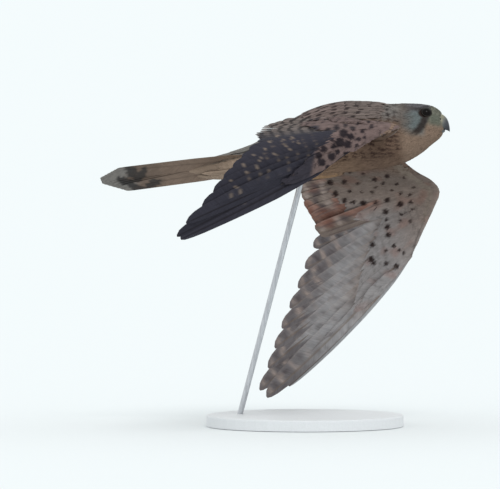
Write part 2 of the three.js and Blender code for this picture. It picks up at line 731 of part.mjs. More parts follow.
function node(group, name, shape, colour, roughness = 0.8, metalness = 0) {
  const { vertProperties, triVerts } = shape.getMesh();
  const geometry = new THREE.BufferGeometry();
  geometry.setAttribute('position', new THREE.BufferAttribute(vertProperties, 3));
  geometry.setIndex(new THREE.BufferAttribute(triVerts, 1));
  geometry.computeVertexNormals();
  const material = new THREE.MeshStandardMaterial({ color: colour, roughness, metalness });
  const mesh = new THREE.Mesh(geometry, material);
  mesh.name = name;
  group.add(mesh);
}

const model = new THREE.Group();
model.add(bird);
node(model, 'stand_base', whole(standBase().subtract(rodShape(GAP))), COLOURS.stand, 0.5);
node(model, 'stand_rod', rodShape(), COLOURS.stand, 0.35, 0.6);

const toBird = bird.matrixWorld.clone().invert();
const socket = rodShape(GAP).transform(toBird.toArray());
node(bird, 'torso', whole(torsoShape().subtract(socket)), COLOURS.back);
node(bird, 'neck', whole(between(bodyWhole(), NECK_BACK + GAP / 2, NECK_FRONT - GAP / 2)), COLOURS.breast);
node(bird, 'head', headShape(), COLOURS.head);
node(bird, 'bill_upper', upperBill(), COLOURS.bill, 0.4);
node(bird, 'bill_lower', whole(billShape(BILL_LOWER)), COLOURS.bill, 0.4);
node(bird, 'tail', tailShape(), COLOURS.tail);
for (const [name, side] of [['left', 1], ['right', -1]]) {
  node(bird, `eye_${name}`, eyeShape(side), COLOURS.eye, 0.1);
  node(bird, `wing_${name}`, wingShape(WINGS[name]), COLOURS.wing);
  node(bird, `leg_${name}`, legShape(side), COLOURS.leg, 0.6);
}

export default model;
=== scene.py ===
import math

import bmesh
import bpy
import numpy as np
from mathutils import Euler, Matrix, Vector
from mathutils.bvhtree import BVHTree

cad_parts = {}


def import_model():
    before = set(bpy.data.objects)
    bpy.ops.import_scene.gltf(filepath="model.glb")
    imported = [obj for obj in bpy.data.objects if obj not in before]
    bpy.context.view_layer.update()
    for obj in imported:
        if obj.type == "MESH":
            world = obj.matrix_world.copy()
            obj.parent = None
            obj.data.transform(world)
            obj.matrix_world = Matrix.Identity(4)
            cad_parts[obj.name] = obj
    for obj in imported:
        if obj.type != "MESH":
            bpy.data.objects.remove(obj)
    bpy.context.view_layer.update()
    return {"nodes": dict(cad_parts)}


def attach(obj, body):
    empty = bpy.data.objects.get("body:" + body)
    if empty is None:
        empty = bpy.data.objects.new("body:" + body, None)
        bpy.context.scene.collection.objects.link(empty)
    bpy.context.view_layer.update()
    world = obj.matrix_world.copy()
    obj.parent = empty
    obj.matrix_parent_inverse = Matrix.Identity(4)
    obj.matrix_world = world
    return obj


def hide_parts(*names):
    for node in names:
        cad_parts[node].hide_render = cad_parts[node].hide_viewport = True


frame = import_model()
rng = np.random.default_rng(23)

# ---------------------------------------------------------------- places
# The bird is drawn in millimetres in its own frame: X to the bill, Y to its left, Z to its back.
MM = 0.001
BIRD_AT = np.array([58.0, 8.0, 257.0])
HEADING, CLIMB, BANK = 8.7, 8.7, 22.0
TURN = np.array(Euler([math.radians(-a) for a in (BANK, CLIMB, HEADING)], "XYZ").to_matrix())
VIEW_UP = math.radians(3)  # how far above the level the camera looks from
PIXELS_PER_MM = 1.12
SHOULDER_PIXEL = (370, 138)  # where the origin of the bird's frame shows in the photo
FRAME_SIZE = (500, 489)
SIDES = {"left": 1, "right": -1}


def world(points):
    """The bird's frame to world metres."""
    return (np.asarray(points, float) @ TURN.T + BIRD_AT) * MM


def bird_points(metres):
    """World metres back to the bird's frame."""
    return (np.asarray(metres) / MM - BIRD_AT) @ TURN


def pixels(points):
    """Where points of the bird's frame fall in the photo."""
    at = np.asarray(points, float) @ TURN.T
    x = SHOULDER_PIXEL[0] + PIXELS_PER_MM * at[:, 0]
    y = SHOULDER_PIXEL[1] - PIXELS_PER_MM * (at[:, 1] * math.sin(VIEW_UP) + at[:, 2] * math.cos(VIEW_UP))
    return np.stack([x, y], 1)


def sideways(side):
    """Factors that take a point of the left side over to the given side."""
    return np.array([1, side, 1])


def unit(v):
    return v / np.maximum(np.linalg.norm(v, axis=-1, keepdims=True), 1e-9)


def smooth(t, low, high):
    """0 up to low, rising softly to 1 at high."""
    s = np.clip((np.asarray(t, float) - low) / (high - low), 0, 1)
    return s * s * (3 - 2 * s)


def fade(t, low, high):
    """1 up to low, falling softly to 0 at high."""
    return 1 - smooth(t, low, high)


def window(t, low, full, still, gone):
    """0 up to low, 1 from full to still, and 0 again from gone on."""
    return smooth(t, low, full) * fade(t, still, gone)


def through(t, table):
    """The value at t on straight lines through a table of {t: value}."""
    return np.interp(t, list(table), list(table.values()))


def curve(stations, steps):
    """Smooth rows through listed rows."""
    s = np.asarray(stations, float)
    rows = []
    for k in range(len(s) - 1):
        p0, p1, p2, p3 = (s[min(max(k + j, 0), len(s) - 1)] for j in (-1, 0, 1, 2))
        for t in np.arange(steps) / steps:
            a, b = (p2 - p0) / 2, (p3 - p1) / 2
            rows.append((2 * t**3 - 3 * t**2 + 1) * p1 + (t**3 - 2 * t**2 + t) * a
                        + (3 * t**2 - 2 * t**3) * p2 + (t**3 - t**2) * b)
    rows.append(s[-1])
    return np.array(rows)


# ---------------------------------------------------------------- sizes, as in the solids
# Stations along the bird: x, top, bottom, half width
BODY = [
    [68, 9.5, -3.5, 3.6], [66, 13, -6.6, 6], [62.5, 17, -9.6, 8.8], [58, 20.8, -11.6, 11.8],
    [53, 23, -13.8, 14.2], [46, 24.7, -18, 16.6], [38, 25.6, -23, 18], [30, 27, -26.6, 20.5],
    [18, 28.8, -28.6, 24.6], [0, 32.2, -29, 27.5], [-20, 34.7, -28, 28], [-40, 33.8, -26, 26.6],
    [-60, 29.2, -23.5, 23.4], [-76, 22.8, -21.8, 19.2], [-92, 13.8, -20.8, 15], [-110, 7.6, -20, 13.5],
    [-130, 3.8, -18, 11.5], [-150, 1, -14.5, 8.5], [-166, -2, -9, 3.5],
]
SPINE = curve(BODY, 8)[::-1]
HEAD_ROOT = 32  # x where the head's short coat begins
COAT_END = -128  # x where the body's coat gives way to the tail coverts

# The head's own frame, and what sits in it
HEAD_AT = np.array([42.0, 0, 7])
HEAD_DOWN = math.radians(10)
EYE = {"at": (11.0, 9.4, 6.4), "radius": 5.6, "clear": 5.3}
LID = {"radius": 4.25, "thick": 0.3, "out": 3.5, "facing": (0.3, 0.92, 0.22)}
BROW = {"at": (8.4, 9.8, 11.1), "size": (6.2, 2.2, 1.3)}
NOSTRIL = {"at": (23.2, 5.3, 3.2), "size": (1.1, 0.7, 1.0)}
BILL_UPPER = np.array([
    [17.6, 10.9, -4.3, 7.4], [21.5, 10.2, -4.6, 6.3], [24.5, 9, -4.8, 5.2], [27, 7.2, -4.9, 4.1],
    [29, 4.6, -5.2, 3.1], [30.6, 0.8, -5.9, 2.1], [31.6, -3, -6.5, 1.1], [31.9, -5.2, -6.9, 0.4],
])
BILL_LOWER = np.array([
    [17.6, -4.6, -9.6, 5.6], [21, -4.7, -9.0, 4.6], [24, -4.8, -8.2, 3.5], [26.4, -4.9, -7.4, 2.3],
    [27.4, -5.0, -6.6, 1.1],
])
COAT_AT_BILL = 18.5  # x in the head's frame where the coat meets the bill

SHOULDER = np.array([-26.0, 26, 12])
ELBOW = np.array([-14.0, 60, -7])
WRIST = np.array([39.0, 89, -27])
ARM_FLESH = [  # leading edge, rear edge, half thickness
    ([14, 14, -2], [-38, 12, 18], 10), ([19, 26, -11], [-34, 30, 12], 9),
    ([24, 38, -15.5], [-30, 44, 5], 7.5), ([31.5, 55, -20], [-26, 60, -3], 6),
    ([38.5, 71, -22.5], [-12, 74, -11], 5.5), ([41.5, 88, -27], [8, 90, -22], 5),
]
# Place along the hand, ahead, chord, half thickness
HAND_FLESH = [(0.3, 5.5, 27, 4.4), (0.65, 3, 20, 3.6), (1, 0.5, 10, 2.2)]
TERTIAL_TIPS = [[-74, 33, 17], [-81, 37, 14.5], [-86, 42, 12]]
# Tips are given for the first, middle and last feather. layer is how much one primary lies over the
# next, proud and edge are what stands before the flesh and before the outermost primary's shaft.
WINGS = {
    "left": {
        "side": 1, "finger": [9.5, 107.3, -78],
        "secondary_tips": [[-78, 124, -38], [-85, 103, -18], [-89, 47, 9]],
        "primary_tips": [[-85, 145, -42], [-125, 180, -101], [-149, 208.5, -154.5]],
        "outer_tip": [-127.5, 206, -148], "sweep": 3.5, "layer": 0.45, "proud": 3.2, "edge": 3.4,
        "edge_sweep": 4.0, "primary_tilt": 1.5, "tilt": 3, "tip_in": 0.0, "thumb": (46, 38, 29),
    },
    "right": {
        "side": -1, "finger": [1, 124, -54.6],
        "secondary_tips": [[-74, 138, -40], [-84, 105, -20], [-89, 47, 9]],
        "primary_tips": [[-75, 157, -47], [-103, 206, -97], [-146.5, 212.5, -146.5]],
        "outer_tip": [-143.5, 209, -149], "sweep": 0.5, "layer": 1.3, "proud": 0.0, "edge": 5.4,
        "edge_sweep": 2.4, "primary_tilt": -2.5, "tilt": 2, "tip_in": 1.8, "thumb": (34, 27, 20),
    },
}
PRIMARY_COUNT, SECONDARY_COUNT, TERTIAL_COUNT = 10, 10, 3
INNER_COUNT = SECONDARY_COUNT + TERTIAL_COUNT
# Where the first root lies along its bone, and the step or span of the rest
ROOT_PLACES = {"tertial": (0.3, 0.25), "secondary": (0.04, 0.92), "primary": (0.08, 0.9)}
ROOT_BACK, EDGE_ROOT_BACK = 6, 8
LONGEST_PRIMARY, LONGER = PRIMARY_COUNT - 3, 1.03

THIGH = {"from": (-30, 14, -17), "to": (-71, 9, -22.5), "radii": {0: 9, 0.35: 8.4, 0.7: 6.2, 1: 3.6}}
TARSUS = {"from": (-68, 9, -22.8), "to": (-104, 10, -25.4), "radius": 2,
          "swell": {0: 1.05, 0.35: 0.95, 0.7: 1, 1: 1.25}, "heel": 2.7}
TOES = [(-15, 19, 1.6), (0, 23, 1.7), (15, 18, 1.6)]  # degrees outwards, length, radius
TAIL = {"pairs": 6, "root": (-99, 0, -5.4), "tip_x": -246, "tip_z": -3.1, "step": 3.3, "spread": 2.4,
        "layer": 0.32, "half": 8.6, "thick": 0.3, "twist": -14, "length": 146}
COAT = 1.6  # depth of the small feathers over the skin


def section(rows, x):
    """Top, bottom and half width at places along rows of stations."""
    return (np.interp(x, rows[:, 0], rows[:, k]) for k in (1, 2, 3))


def body_at(x, degrees, out):
    """Points over the body's surface, from the place along X and the angle up from the left side."""
    x = np.asarray(x, float)
    top, bottom, half = section(SPINE, x)
    a = np.radians(degrees)
    return np.stack([x, (half + out) * np.cos(a),
                     (top + bottom) / 2 + ((top - bottom) / 2 + out) * np.sin(a)], -1)


def on_head(p):
    """Points of the head's own frame in the bird's."""
    c, s = math.cos(HEAD_DOWN), math.sin(HEAD_DOWN)
    x, y, z = np.moveaxis(np.asarray(p, float), -1, 0)
    return np.stack([c * x + s * z, y, c * z - s * x], -1) + HEAD_AT


def in_head(p):
    """X and Z of the bird's points in the head's own frame."""
    c, s = math.cos(HEAD_DOWN), math.sin(HEAD_DOWN)
    x, z = p[:, 0] - HEAD_AT[0], p[:, 2] - HEAD_AT[2]
    return c * x - s * z, s * x + c * z


def bend(points, t):
    """A parabola through three points."""
    a, b, c = (np.array(p, float) for p in points)
    return 2 * (t - 0.5) * (t - 1) * a - 4 * t * (t - 1) * b + 2 * t * (t - 0.5) * c


def flight_feathers(wing):
    """Tertials, secondaries and primaries from the body outwards, with Y counted outwards."""
    finger = np.array(wing["finger"], float)
    feathers = []

    def grow(kind, n, bone, place, tip):
        first, span = ROOT_PLACES[kind]
        root = bone[0] + (bone[1] - bone[0]) * (first + span * place)
        feathers.append({"root": root, "tip": np.array(tip, float), "kind": kind, "n": n})

    for k, tip in enumerate(TERTIAL_TIPS):
        grow("tertial", k, (SHOULDER, ELBOW), k, tip)
    for i in range(SECONDARY_COUNT):
        t = (SECONDARY_COUNT - 1 - i) / (SECONDARY_COUNT - 1)
        grow("secondary", i, (WRIST, ELBOW), t, bend(wing["secondary_tips"], t))
    for i in range(PRIMARY_COUNT):
        last = i == PRIMARY_COUNT - 1
        tip = wing["outer_tip"] if last else bend(wing["primary_tips"], i / (PRIMARY_COUNT - 2))
        grow("primary", i, (WRIST, finger), i / (PRIMARY_COUNT - 1), tip)
        if i == LONGEST_PRIMARY:
            f = feathers[-1]
            f["tip"] = f["root"] + (f["tip"] - f["root"]) * LONGER
    for f in feathers:
        f["root"] = f["root"] + unit(f["tip"] - f["root"]) * ROOT_BACK
    for i, f in enumerate(feathers):
        inner, outer = feathers[max(i - 1, 0)], feathers[min(i + 1, len(feathers) - 1)]
        f["lead"] = unit(outer["root"] + outer["tip"] - inner["root"] - inner["tip"])
        f["back"] = unit(f["tip"] - f["root"])
        f["up"] = unit(np.cross(f["lead"], f["back"]))
        from_middle = i - (len(feathers) - (PRIMARY_COUNT + 1) / 2)
        f["height"] = -wing["layer"] * from_middle if f["kind"] == "primary" else 0.0
    return feathers


for wing_ in WINGS.values():
    wing_["feathers"] = flight_feathers(wing_)


def flesh_frame(wing, steps=6):
    """Smooth sections of arm and hand: middle, half chord forwards, the way up and half thickness."""
    rows = [[*lead, *rear, thick] for lead, rear, thick in ARM_FLESH]
    for place, ahead, chord, thick in HAND_FLESH:
        bone = WRIST + (np.array(wing["finger"]) - WRIST) * place
        near = min(wing["feathers"], key=lambda f: np.linalg.norm(f["root"] - bone))
        rows.append([*(bone - near["back"] * ahead), *(bone + near["back"] * (chord - ahead)), thick])
    rows = curve(rows, steps)
    lead, rear, thick = rows[:, :3], rows[:, 3:6], rows[:, 6]
    span = np.gradient(lead + rear, axis=0)
    fore = (lead - rear) / 2
    return (lead + rear) / 2, fore, unit(np.cross(fore, span)), thick


# ---------------------------------------------------------------- mesh helpers
def linked(name, data):
    obj = bpy.data.objects.new(name, data)
    bpy.context.scene.collection.objects.link(obj)
    return obj


def paint_points(mesh, tint):
    """The attribute that the feather materials take their colour from."""
    rgba = np.column_stack([tint, np.ones(len(tint))]).astype(np.float32)
    mesh.color_attributes.new("tint", "FLOAT_COLOR", "POINT").data.foreach_set("color", rgba.ravel())


def mesh_object(name, points, faces, tint=None, uv=None):
    """A smooth mesh from points in metres, arrays of faces, colours of points and UVs of corners."""
    mesh = bpy.data.meshes.new(name)
    loops = np.concatenate([f.reshape(-1) for f in faces]).astype(np.int32)
    counts = np.concatenate([np.full(len(f), f.shape[1]) for f in faces])
    starts = np.concatenate([[0], np.cumsum(counts)[:-1]]).astype(np.int32)
    mesh.vertices.add(len(points))
    mesh.vertices.foreach_set("co", np.asarray(points, np.float32).reshape(-1))
    mesh.loops.add(len(loops))
    mesh.loops.foreach_set("vertex_index", loops)
    mesh.polygons.add(len(counts))
    mesh.polygons.foreach_set("loop_start", starts)
    mesh.update(calc_edges=True)
    mesh.polygons.foreach_set("use_smooth", np.full(len(counts), True))
    if tint is not None:
        paint_points(mesh, tint)
    if uv is not None:
        mesh.uv_layers.new(name="OFBake").data.foreach_set("uv", np.asarray(uv, np.float32).reshape(-1))
    return linked(name, mesh)


def between_rings(rows, sides, closed=False):
    """Triangles from each ring of points to the next, and from the last to the first if closed."""
    k, j = np.meshgrid(np.arange(rows if closed else rows - 1), np.arange(sides), indexing="ij")
    here, there, turn = k * sides, (k + 1) % rows * sides, (j + 1) % sides
    a, b, c, d = here + j, here + turn, there + turn, there + j
    return np.concatenate([np.stack([v.ravel() for v in tri], 1) for tri in ((a, b, c), (a, c, d))])


def loft(rings):
    """Points and triangles of a closed skin over rings of equal count."""
    rings = np.asarray(rings, float)
    n, sides = rings.shape[:2]
    points = np.concatenate([rings.reshape(-1, 3), [rings[0].mean(0), rings[-1].mean(0)]])
    j, turn, end = np.arange(sides), (np.arange(sides) + 1) % sides, (n - 1) * sides
    caps = [np.stack([turn, j, np.full(sides, n * sides)], 1),
            np.stack([j + end, turn + end, np.full(sides, n * sides + 1)], 1)]
    return points, np.concatenate([between_rings(n, sides), *caps])


def circle(count):
    """Cosines and sines of equal turns."""
    a = np.linspace(0, 2 * math.pi, count, endpoint=False)
    return np.cos(a), np.sin(a)


def ball(centre, size, n=24):
    """Points and triangles of an ellipsoid."""
    a = np.linspace(0.02, math.pi - 0.02, n)
    c, s = circle(2 * n)
    waist, height = np.sin(a), np.cos(a)
    rings = np.stack([np.outer(waist, c), np.outer(waist, s), np.outer(height, np.ones(2 * n))], -1)
    return loft(rings * np.array(size) + np.asarray(centre, float))


def tube(points, radii, sides=12):
    points, radii = np.asarray(points, float), np.asarray(radii, float)
    tangent = unit(np.gradient(points, axis=0))
    side = unit(np.cross(tangent, np.where(np.abs(tangent[:, 2:]) > 0.9, [[1.0, 0, 0]], [[0, 0, 1.0]])))
    c, s = (v[None, :, None] for v in circle(sides))
    ring = c * side[:, None] + s * np.cross(side, tangent)[:, None]
    return loft(points[:, None] + radii[:, None, None] * ring)


def torus(centre, facing, radius, thick, n=40, m=12):
    facing = unit(np.asarray(facing, float))
    u = unit(np.cross(facing, [0, 0, 1.0]))
    (c, s), (bulge, rise) = circle(n), circle(m)
    out = c[:, None] * u + s[:, None] * np.cross(facing, u)
    points = (np.asarray(centre) + out[:, None] * (radius + thick * bulge)[None, :, None]
              + facing * (thick * rise)[None, :, None]).reshape(-1, 3)
    return points, between_rings(n, m, closed=True)[:, ::-1]


def gathered(pieces):
    """Points and triangles of several pieces as one."""
    starts = np.cumsum([0] + [len(points) for points, _ in pieces])
    return (np.concatenate([points for points, _ in pieces]),
            np.concatenate([tris + start for (_, tris), start in zip(pieces, starts)]))


def mirrored(piece, side):
    points, tris = piece
    return points * sideways(side), tris if side > 0 else tris[:, ::-1]


def fused(name, pieces, voxel, relax):
    """One closed mesh round overlapping pieces given in the bird's frame."""
    points, tris = gathered(pieces)
    obj = mesh_object(name, world(points), [tris])
    remesh = obj.modifiers.new("remesh", "REMESH")
    remesh.mode, remesh.voxel_size = "VOXEL", voxel * MM
    soften = obj.modifiers.new("soft", "SMOOTH")
    soften.iterations, soften.factor = relax, 0.5
    mesh = bpy.data.meshes.new_from_object(obj.evaluated_get(bpy.context.evaluated_depsgraph_get()))
    obj.modifiers.clear()
    obj.data = mesh
    mesh.polygons.foreach_set("use_smooth", np.full(len(mesh.polygons), True))
    return obj


def vertex_values(obj, attribute="co"):
    values = np.empty(len(obj.data.vertices) * 3, np.float32 if attribute == "vector" else float)
    source = obj.data.vertex_normals if attribute == "vector" else obj.data.vertices
    source.foreach_get(attribute, values)
    return values.reshape(-1, 3)


def give(obj, material):
    obj.data.materials.clear()
    obj.data.materials.append(material)


def finish(obj, material, slot, *nodes):
    """The material and body of a piece, and the CAD nodes that it stands for; slot is not used."""
    if nodes:
        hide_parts(*nodes)
    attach(obj, "root")
    give(obj, material)
    return obj


# ---------------------------------------------------------------- materials
NOISE_SPREAD = (0.3, 0.7)  # where most of a noise node's values lie


def rgb(*v):
    """An sRGB colour of 0 to 255 as linear light."""
    c = np.asarray(v, float) / 255
    return np.where(c <= 0.04045, c / 12.92, ((c + 0.055) / 1.055) ** 2.4)


class Surface:
    """A material in the making, with the nodes that it needs."""

    def __init__(self, name, roughness, specular=0.5, metallic=0.0):
        self.material = bpy.data.materials.new(name)
        self.material.use_nodes = True
        self.tree = self.material.node_tree
        self.shader = self.tree.nodes["Principled BSDF"].inputs
        self.shader["Roughness"].default_value = roughness
        self.shader["Specular IOR Level"].default_value = specular
        self.shader["Metallic"].default_value = metallic

    def node(self, kind, values=(), links=(), **settings):
        """A node with its settings, the values of its sockets and the links into them."""
        node = self.tree.nodes.new("ShaderNode" + kind)
        for key, value in settings.items():
            setattr(node, key, value)
        for socket, value in dict(values).items():
            node.inputs[socket].default_value = value
        for socket, source in dict(links).items():
            self.tree.links.new(source, node.inputs[socket])
        return node.outputs

    def attribute(self, name):
        return self.node("Attribute", attribute_name=name)

    def place(self):
        return self.node("TexCoord")["Object"]

    def noise(self, source, scale, detail=3.0, roughness=0.6):
        return self.node("TexNoise", {"Scale": scale, "Detail": detail, "Roughness": roughness},
                         {"Vector": source})["Fac"]

    def ramp(self, value, stops):
        outputs = self.node("ValToRGB", links={0: value})
        elements = self.tree.nodes[-1].color_ramp.elements
        while len(elements) < len(stops):
            elements.new(0.5)
        for element, (place, colour) in zip(elements, stops):
            element.position, element.color = place, (*colour, 1)
        return outputs[0]

    def mottled(self, colour, grain, depth):
        """A colour lightened and darkened by a noise."""
        spread = dict(enumerate((*NOISE_SPREAD, 1 - depth, 1 + depth), 1))
        factor = self.node("MapRange", spread, {0: grain})
        return self.node("VectorMath", links={0: colour, "Scale": factor[0]}, operation="SCALE")[0]

    def finished(self, colour, height, distance, strength):
        """The material with its colour, and bumps of a height in millimetres."""
        self.tree.links.new(colour, self.shader["Base Color"])
        bump = self.node("Bump", {"Distance": distance * MM, "Strength": strength}, {"Height": height})
        self.tree.links.new(bump[0], self.shader["Normal"])
        return self.material


def feather_material(name, fineness, roughness):
    """The feathers' own colours, streaked along their barbs."""
    surface = Surface(name, roughness, 0.04)
    barb = surface.attribute("barb")["Vector"]
    fine, broad = surface.noise(barb, fineness), surface.noise(barb, 0.22, 2.0, 0.5)
    colour = surface.mottled(surface.attribute("tint")["Color"], fine, 0.16)
    return surface.finished(surface.mottled(colour, broad, 0.1), fine, 0.08, 0.6)


def skin_material(name):
    """The skin under the feathers, in their colours, with a fine grain."""
    surface = Surface(name, 0.8, 0.04)
    grain = surface.noise(surface.place(), 1400)
    colour = surface.mottled(surface.attribute("tint")["Color"], grain, 0.16)
    return surface.finished(colour, grain, 0.08, 0.6)


def horn_material(name, stops, length):
    """Colour that runs along the bill from its base, in shares of a length."""
    surface = Surface(name, 0.35)
    base = world(on_head([BILL_UPPER[0, 0], 0, 0]))
    axis = unit(world(on_head([31, 0, -3])) - base)
    place = surface.place()
    from_base = surface.node("VectorMath", {1: tuple(base)}, {0: place}, operation="SUBTRACT")[0]
    along = surface.node("VectorMath", {1: tuple(axis)}, {0: from_base}, operation="DOT_PRODUCT")["Value"]
    share = surface.node("MapRange", dict(enumerate((0, length * MM, 0, 1), 1)), {0: along})[0]
    grain = surface.noise(place, 700, 5.0, 0.5)
    stops = [(at, rgb(*colour)) for at, colour in stops]
    return surface.finished(surface.mottled(surface.ramp(share, stops), grain, 0.15), grain, 0.05, 0.4)


def mottled_material(name, dark, light, scale, roughness, depth, specular=0.5, metallic=0.0,
                     stretch=(1, 1, 1)):
    """Two colours mixed by a noise, with bumps of a depth in millimetres."""
    surface = Surface(name, roughness, specular, metallic)
    place = surface.node("Mapping", {"Scale": stretch}, {"Vector": surface.place()})["Vector"]
    grain = surface.noise(place, scale, 5.0)
    stops = [(at, rgb(*colour)) for at, colour in zip(NOISE_SPREAD, (dark, light))]
    return surface.finished(surface.ramp(grain, stops), grain, depth, 0.5)


SKIN = skin_material("feathered_skin")
SOFT = feather_material("soft_feathers", 3.4, 0.8)
FIRM = feather_material("firm_feathers", 1.7, 0.65)
HORN_UPPER = horn_material("bill_horn", [
    (0.0, (124, 120, 98)), (0.46, (118, 115, 96)), (0.62, (84, 86, 84)), (0.76, (48, 52, 57)),
    (1.0, (30, 33, 40))], 14)
HORN_LOWER = horn_material("bill_horn_lower", [
    (0.0, (130, 120, 96)), (0.4, (118, 112, 92)), (0.7, (84, 86, 86)), (1.0, (48, 52, 58))], 12)
NOSTRIL_DARK = mottled_material("nostril", (20, 18, 16), (40, 36, 28), 900, 0.8, 0.05)
EYE_GLOSS = mottled_material("eye_gloss", (6, 5, 5), (16, 11, 9), 300, 0.08, 0.0, 0.09)
LID_SKIN = mottled_material("lid_skin", (34, 31, 28), (50, 45, 38), 900, 0.6, 0.15, 0.2)
SCUTES = mottled_material("scutes", (178, 128, 30), (222, 178, 66), 650, 0.5, 0.3)
CLAW_HORN = mottled_material("claw_horn", (22, 20, 22), (48, 44, 44), 800, 0.3, 0.05)
PAINT = mottled_material("matt_paint", (212, 214, 216), (222, 224, 226), 1600, 0.55, 0.03)
STEEL = mottled_material("brushed_steel", (168, 170, 174), (206, 208, 212), 900, 0.32, 0.02, 0.5, 1.0,
                         (1, 1, 0.05))

# ---------------------------------------------------------------- colours
C = {name: rgb(*value) for name, value in {
    "crown": (94, 92, 95), "nape": (98, 91, 86), "cheek": (99, 106, 106), "forehead": (110, 110, 99),
    "throat": (125, 106, 92), "moustache": (44, 34, 31), "lores": (90, 94, 84),
    "mantle": (112, 101, 96), "mantle_grey": (116, 111, 107), "mantle_dark": (28, 22, 24),
    "breast": (102, 83, 71), "belly": (122, 100, 83), "streak": (48, 34, 31), "thigh": (134, 108, 84),
    "rump": (112, 108, 104), "vent": (142, 124, 109),
    "covert": (108, 92, 89), "covert_dark": (28, 25, 31), "covert_edge": (122, 103, 90),
    "remex": (49, 48, 56), "remex_edge": (66, 61, 64), "notch": (130, 115, 102),
    "under": (134, 120, 112), "under_grey": (152, 149, 150), "under_bar": (80, 70, 72),
    "under_rufous": (140, 92, 76), "under_spot": (40, 29, 28), "under_edge": (166, 150, 142),
    "under_lead": (120, 110, 100), "under_pale": (172, 171, 173), "under_tip": (112, 104, 104),
    "tail_under": (122, 105, 93), "tail_upper": (112, 108, 106), "tail_band": (56, 54, 54),
    "tail_tip": (122, 118, 114), "shaft": (116, 102, 92), "shaft_dark": (30, 27, 30),
}.items()}

# Marks that the photo shows, in its pixels: x, y, radius
UPPER_BLOTCHES = [
    (343, 134, 4.8), (350, 137, 3.6), (339, 143, 5.0), (347, 145, 4.4), (328, 132, 4.0), (321, 140, 4.4),
    (323, 150, 3.8), (331, 157, 4.2), (321, 163, 4.2), (333, 147, 3.0), (337, 153, 2.8), (345, 154, 2.4),
    (352, 129, 2.8), (336, 128, 3.2), (362, 132, 2.4), (318, 156, 3.8), (358, 140, 2.4), (371, 127, 2.2),
    (327, 168, 2.6), (356, 146, 2), (364, 138, 1.8), (340, 161, 2), (378, 121, 1.8), (368, 122, 1.8),
    (345, 126, 2.2), (357, 124, 2), (331, 140, 2.4), (315, 148, 3.6),
]
NOTCH_RADIUS = 1.5
UPPER_NOTCHES = [(x, y, NOTCH_RADIUS) for x, y in (
    (270, 142), (290, 150), (253, 156), (260, 160), (244, 166), (247, 174), (231, 181), (236, 188),
    (283, 141), (299, 143), (265, 150), (277, 137), (292, 138), (286, 146), (275, 154), (256, 168),
)]
UNDER_SPOTS = [
    (330.5, 182.5, 3.1), (344.5, 182, 2.8), (336, 193.5, 3.2), (344.5, 200.5, 2.7), (353.8, 202, 2.5),
    (363.8, 203, 3.1), (376, 202.5, 2.5), (387.5, 200, 2.7), (400.7, 204, 3.1), (386, 211.5, 3.2),
    (410.5, 194.5, 2), (411, 202, 2), (375, 179.5, 2.3), (387.5, 176, 2.4), (383.5, 183, 2.1),
    (388, 227, 2.7), (389, 235, 2.7), (373.3, 245, 2.9), (371.5, 259, 3.4), (374, 263, 2.6),
    (394.5, 246, 2.4),
    (399.8, 250, 1.8), (386.5, 263.5, 2.3), (386.5, 250.5, 1.6), (396.5, 266.5, 2.8), (404, 253, 1.6),
    (350, 191, 2), (372, 192, 1.8), (358, 183, 1.7), (401, 193, 2), (402, 214, 1.8), (397, 184, 1.7),
    (387, 219, 1.8), (411, 221, 1.9), (400, 221, 1.4), (362, 192, 1.3), (350, 172, 1.8), (364, 174, 1.6),
    (404, 178, 1.4), (414, 187, 1.4), (413, 209, 1.5), (376, 187, 1.4), (392, 190, 1.3), (406, 212, 1.2),
]
TAIL_BLOTCHES = [
    (132, 172, 6), (142, 174, 4.5), (128, 168, 3.4), (138, 178, 4.6), (144, 170, 3.4), (124, 181, 4.4),
    (131, 183, 4.4), (135, 188, 4.4), (153, 183, 4.6), (158, 182, 3), (148, 186, 3.4), (141, 188, 3),
    (119, 179, 2.6),
]
# Where the dark hand begins in the photo, and how its edge leans
HAND_PIXEL, HAND_LEAN = (320, 129), 0.16
LOWEST_SPOTS = (280, 300)  # the photo's rows over which spots end on the flight feathers

# Patterns: row length, width of a feather, share of feathers marked, size of a mark, seed
BACK_SPOTS, BACK_FLECKS = (6.0, 5.6, 0.88, 0.74, 1.0), (4.2, 3.1, 0.6, 0.55, 5.0)
BREAST_LINES, CROWN_LINES = (8.0, 3.8, 0.9, 0.76, 9.0), (3.4, 1.5, 0.6, 0.6, 3.0)
COVERT_SPOTS, COVERT_FLECKS = (7.0, 6.0, 0.86, 0.72, 2.0), (4.2, 4.0, 0.4, 0.6, 8.0)
AXILLARY_LINES, UNDER_FLECKS = (9.0, 4.0, 0.7, 0.6, 9.0), (6.0, 5.0, 0.4, 0.5, 4.0)
WRIST_LINES, SCAPULAR_LINES = (8.0, 3.6, 0.8, 0.6, 9.0), (5.0, 3.2, 0.5, 0.5, 6.0)
# Where the body's colours change, in millimetres behind the origin
TO_MANTLE, TO_RUMP, TO_BELLY, TO_VENT = (-26, 0), (66, 92), (-6, 40), (60, 90)
SPOTS_END, LINES_END = (58, 74), (30, 62)


def blend(a, b, t):
    t = np.asarray(t, float)[..., None]
    return a * (1 - t) + b * t


def paint(colour, name, share):
    return blend(colour, C[name], share)


def near_marks(at, marks):
    """1 in the middle of a mark, 0 outside, for pixel places."""
    value = np.zeros(len(at))
    wobble = 0.3 * np.sin(at[:, 0] * 1.3 + 2 * np.sin(at[:, 1] * 0.9)) + 0.2 * np.sin(at[:, 1] * 1.7)
    for x, y, radius in marks:
        off = np.hypot(at[:, 0] - x, at[:, 1] - y) + wobble
        value = np.maximum(value, fade(off / radius, 0.8, 1.15))
    return value


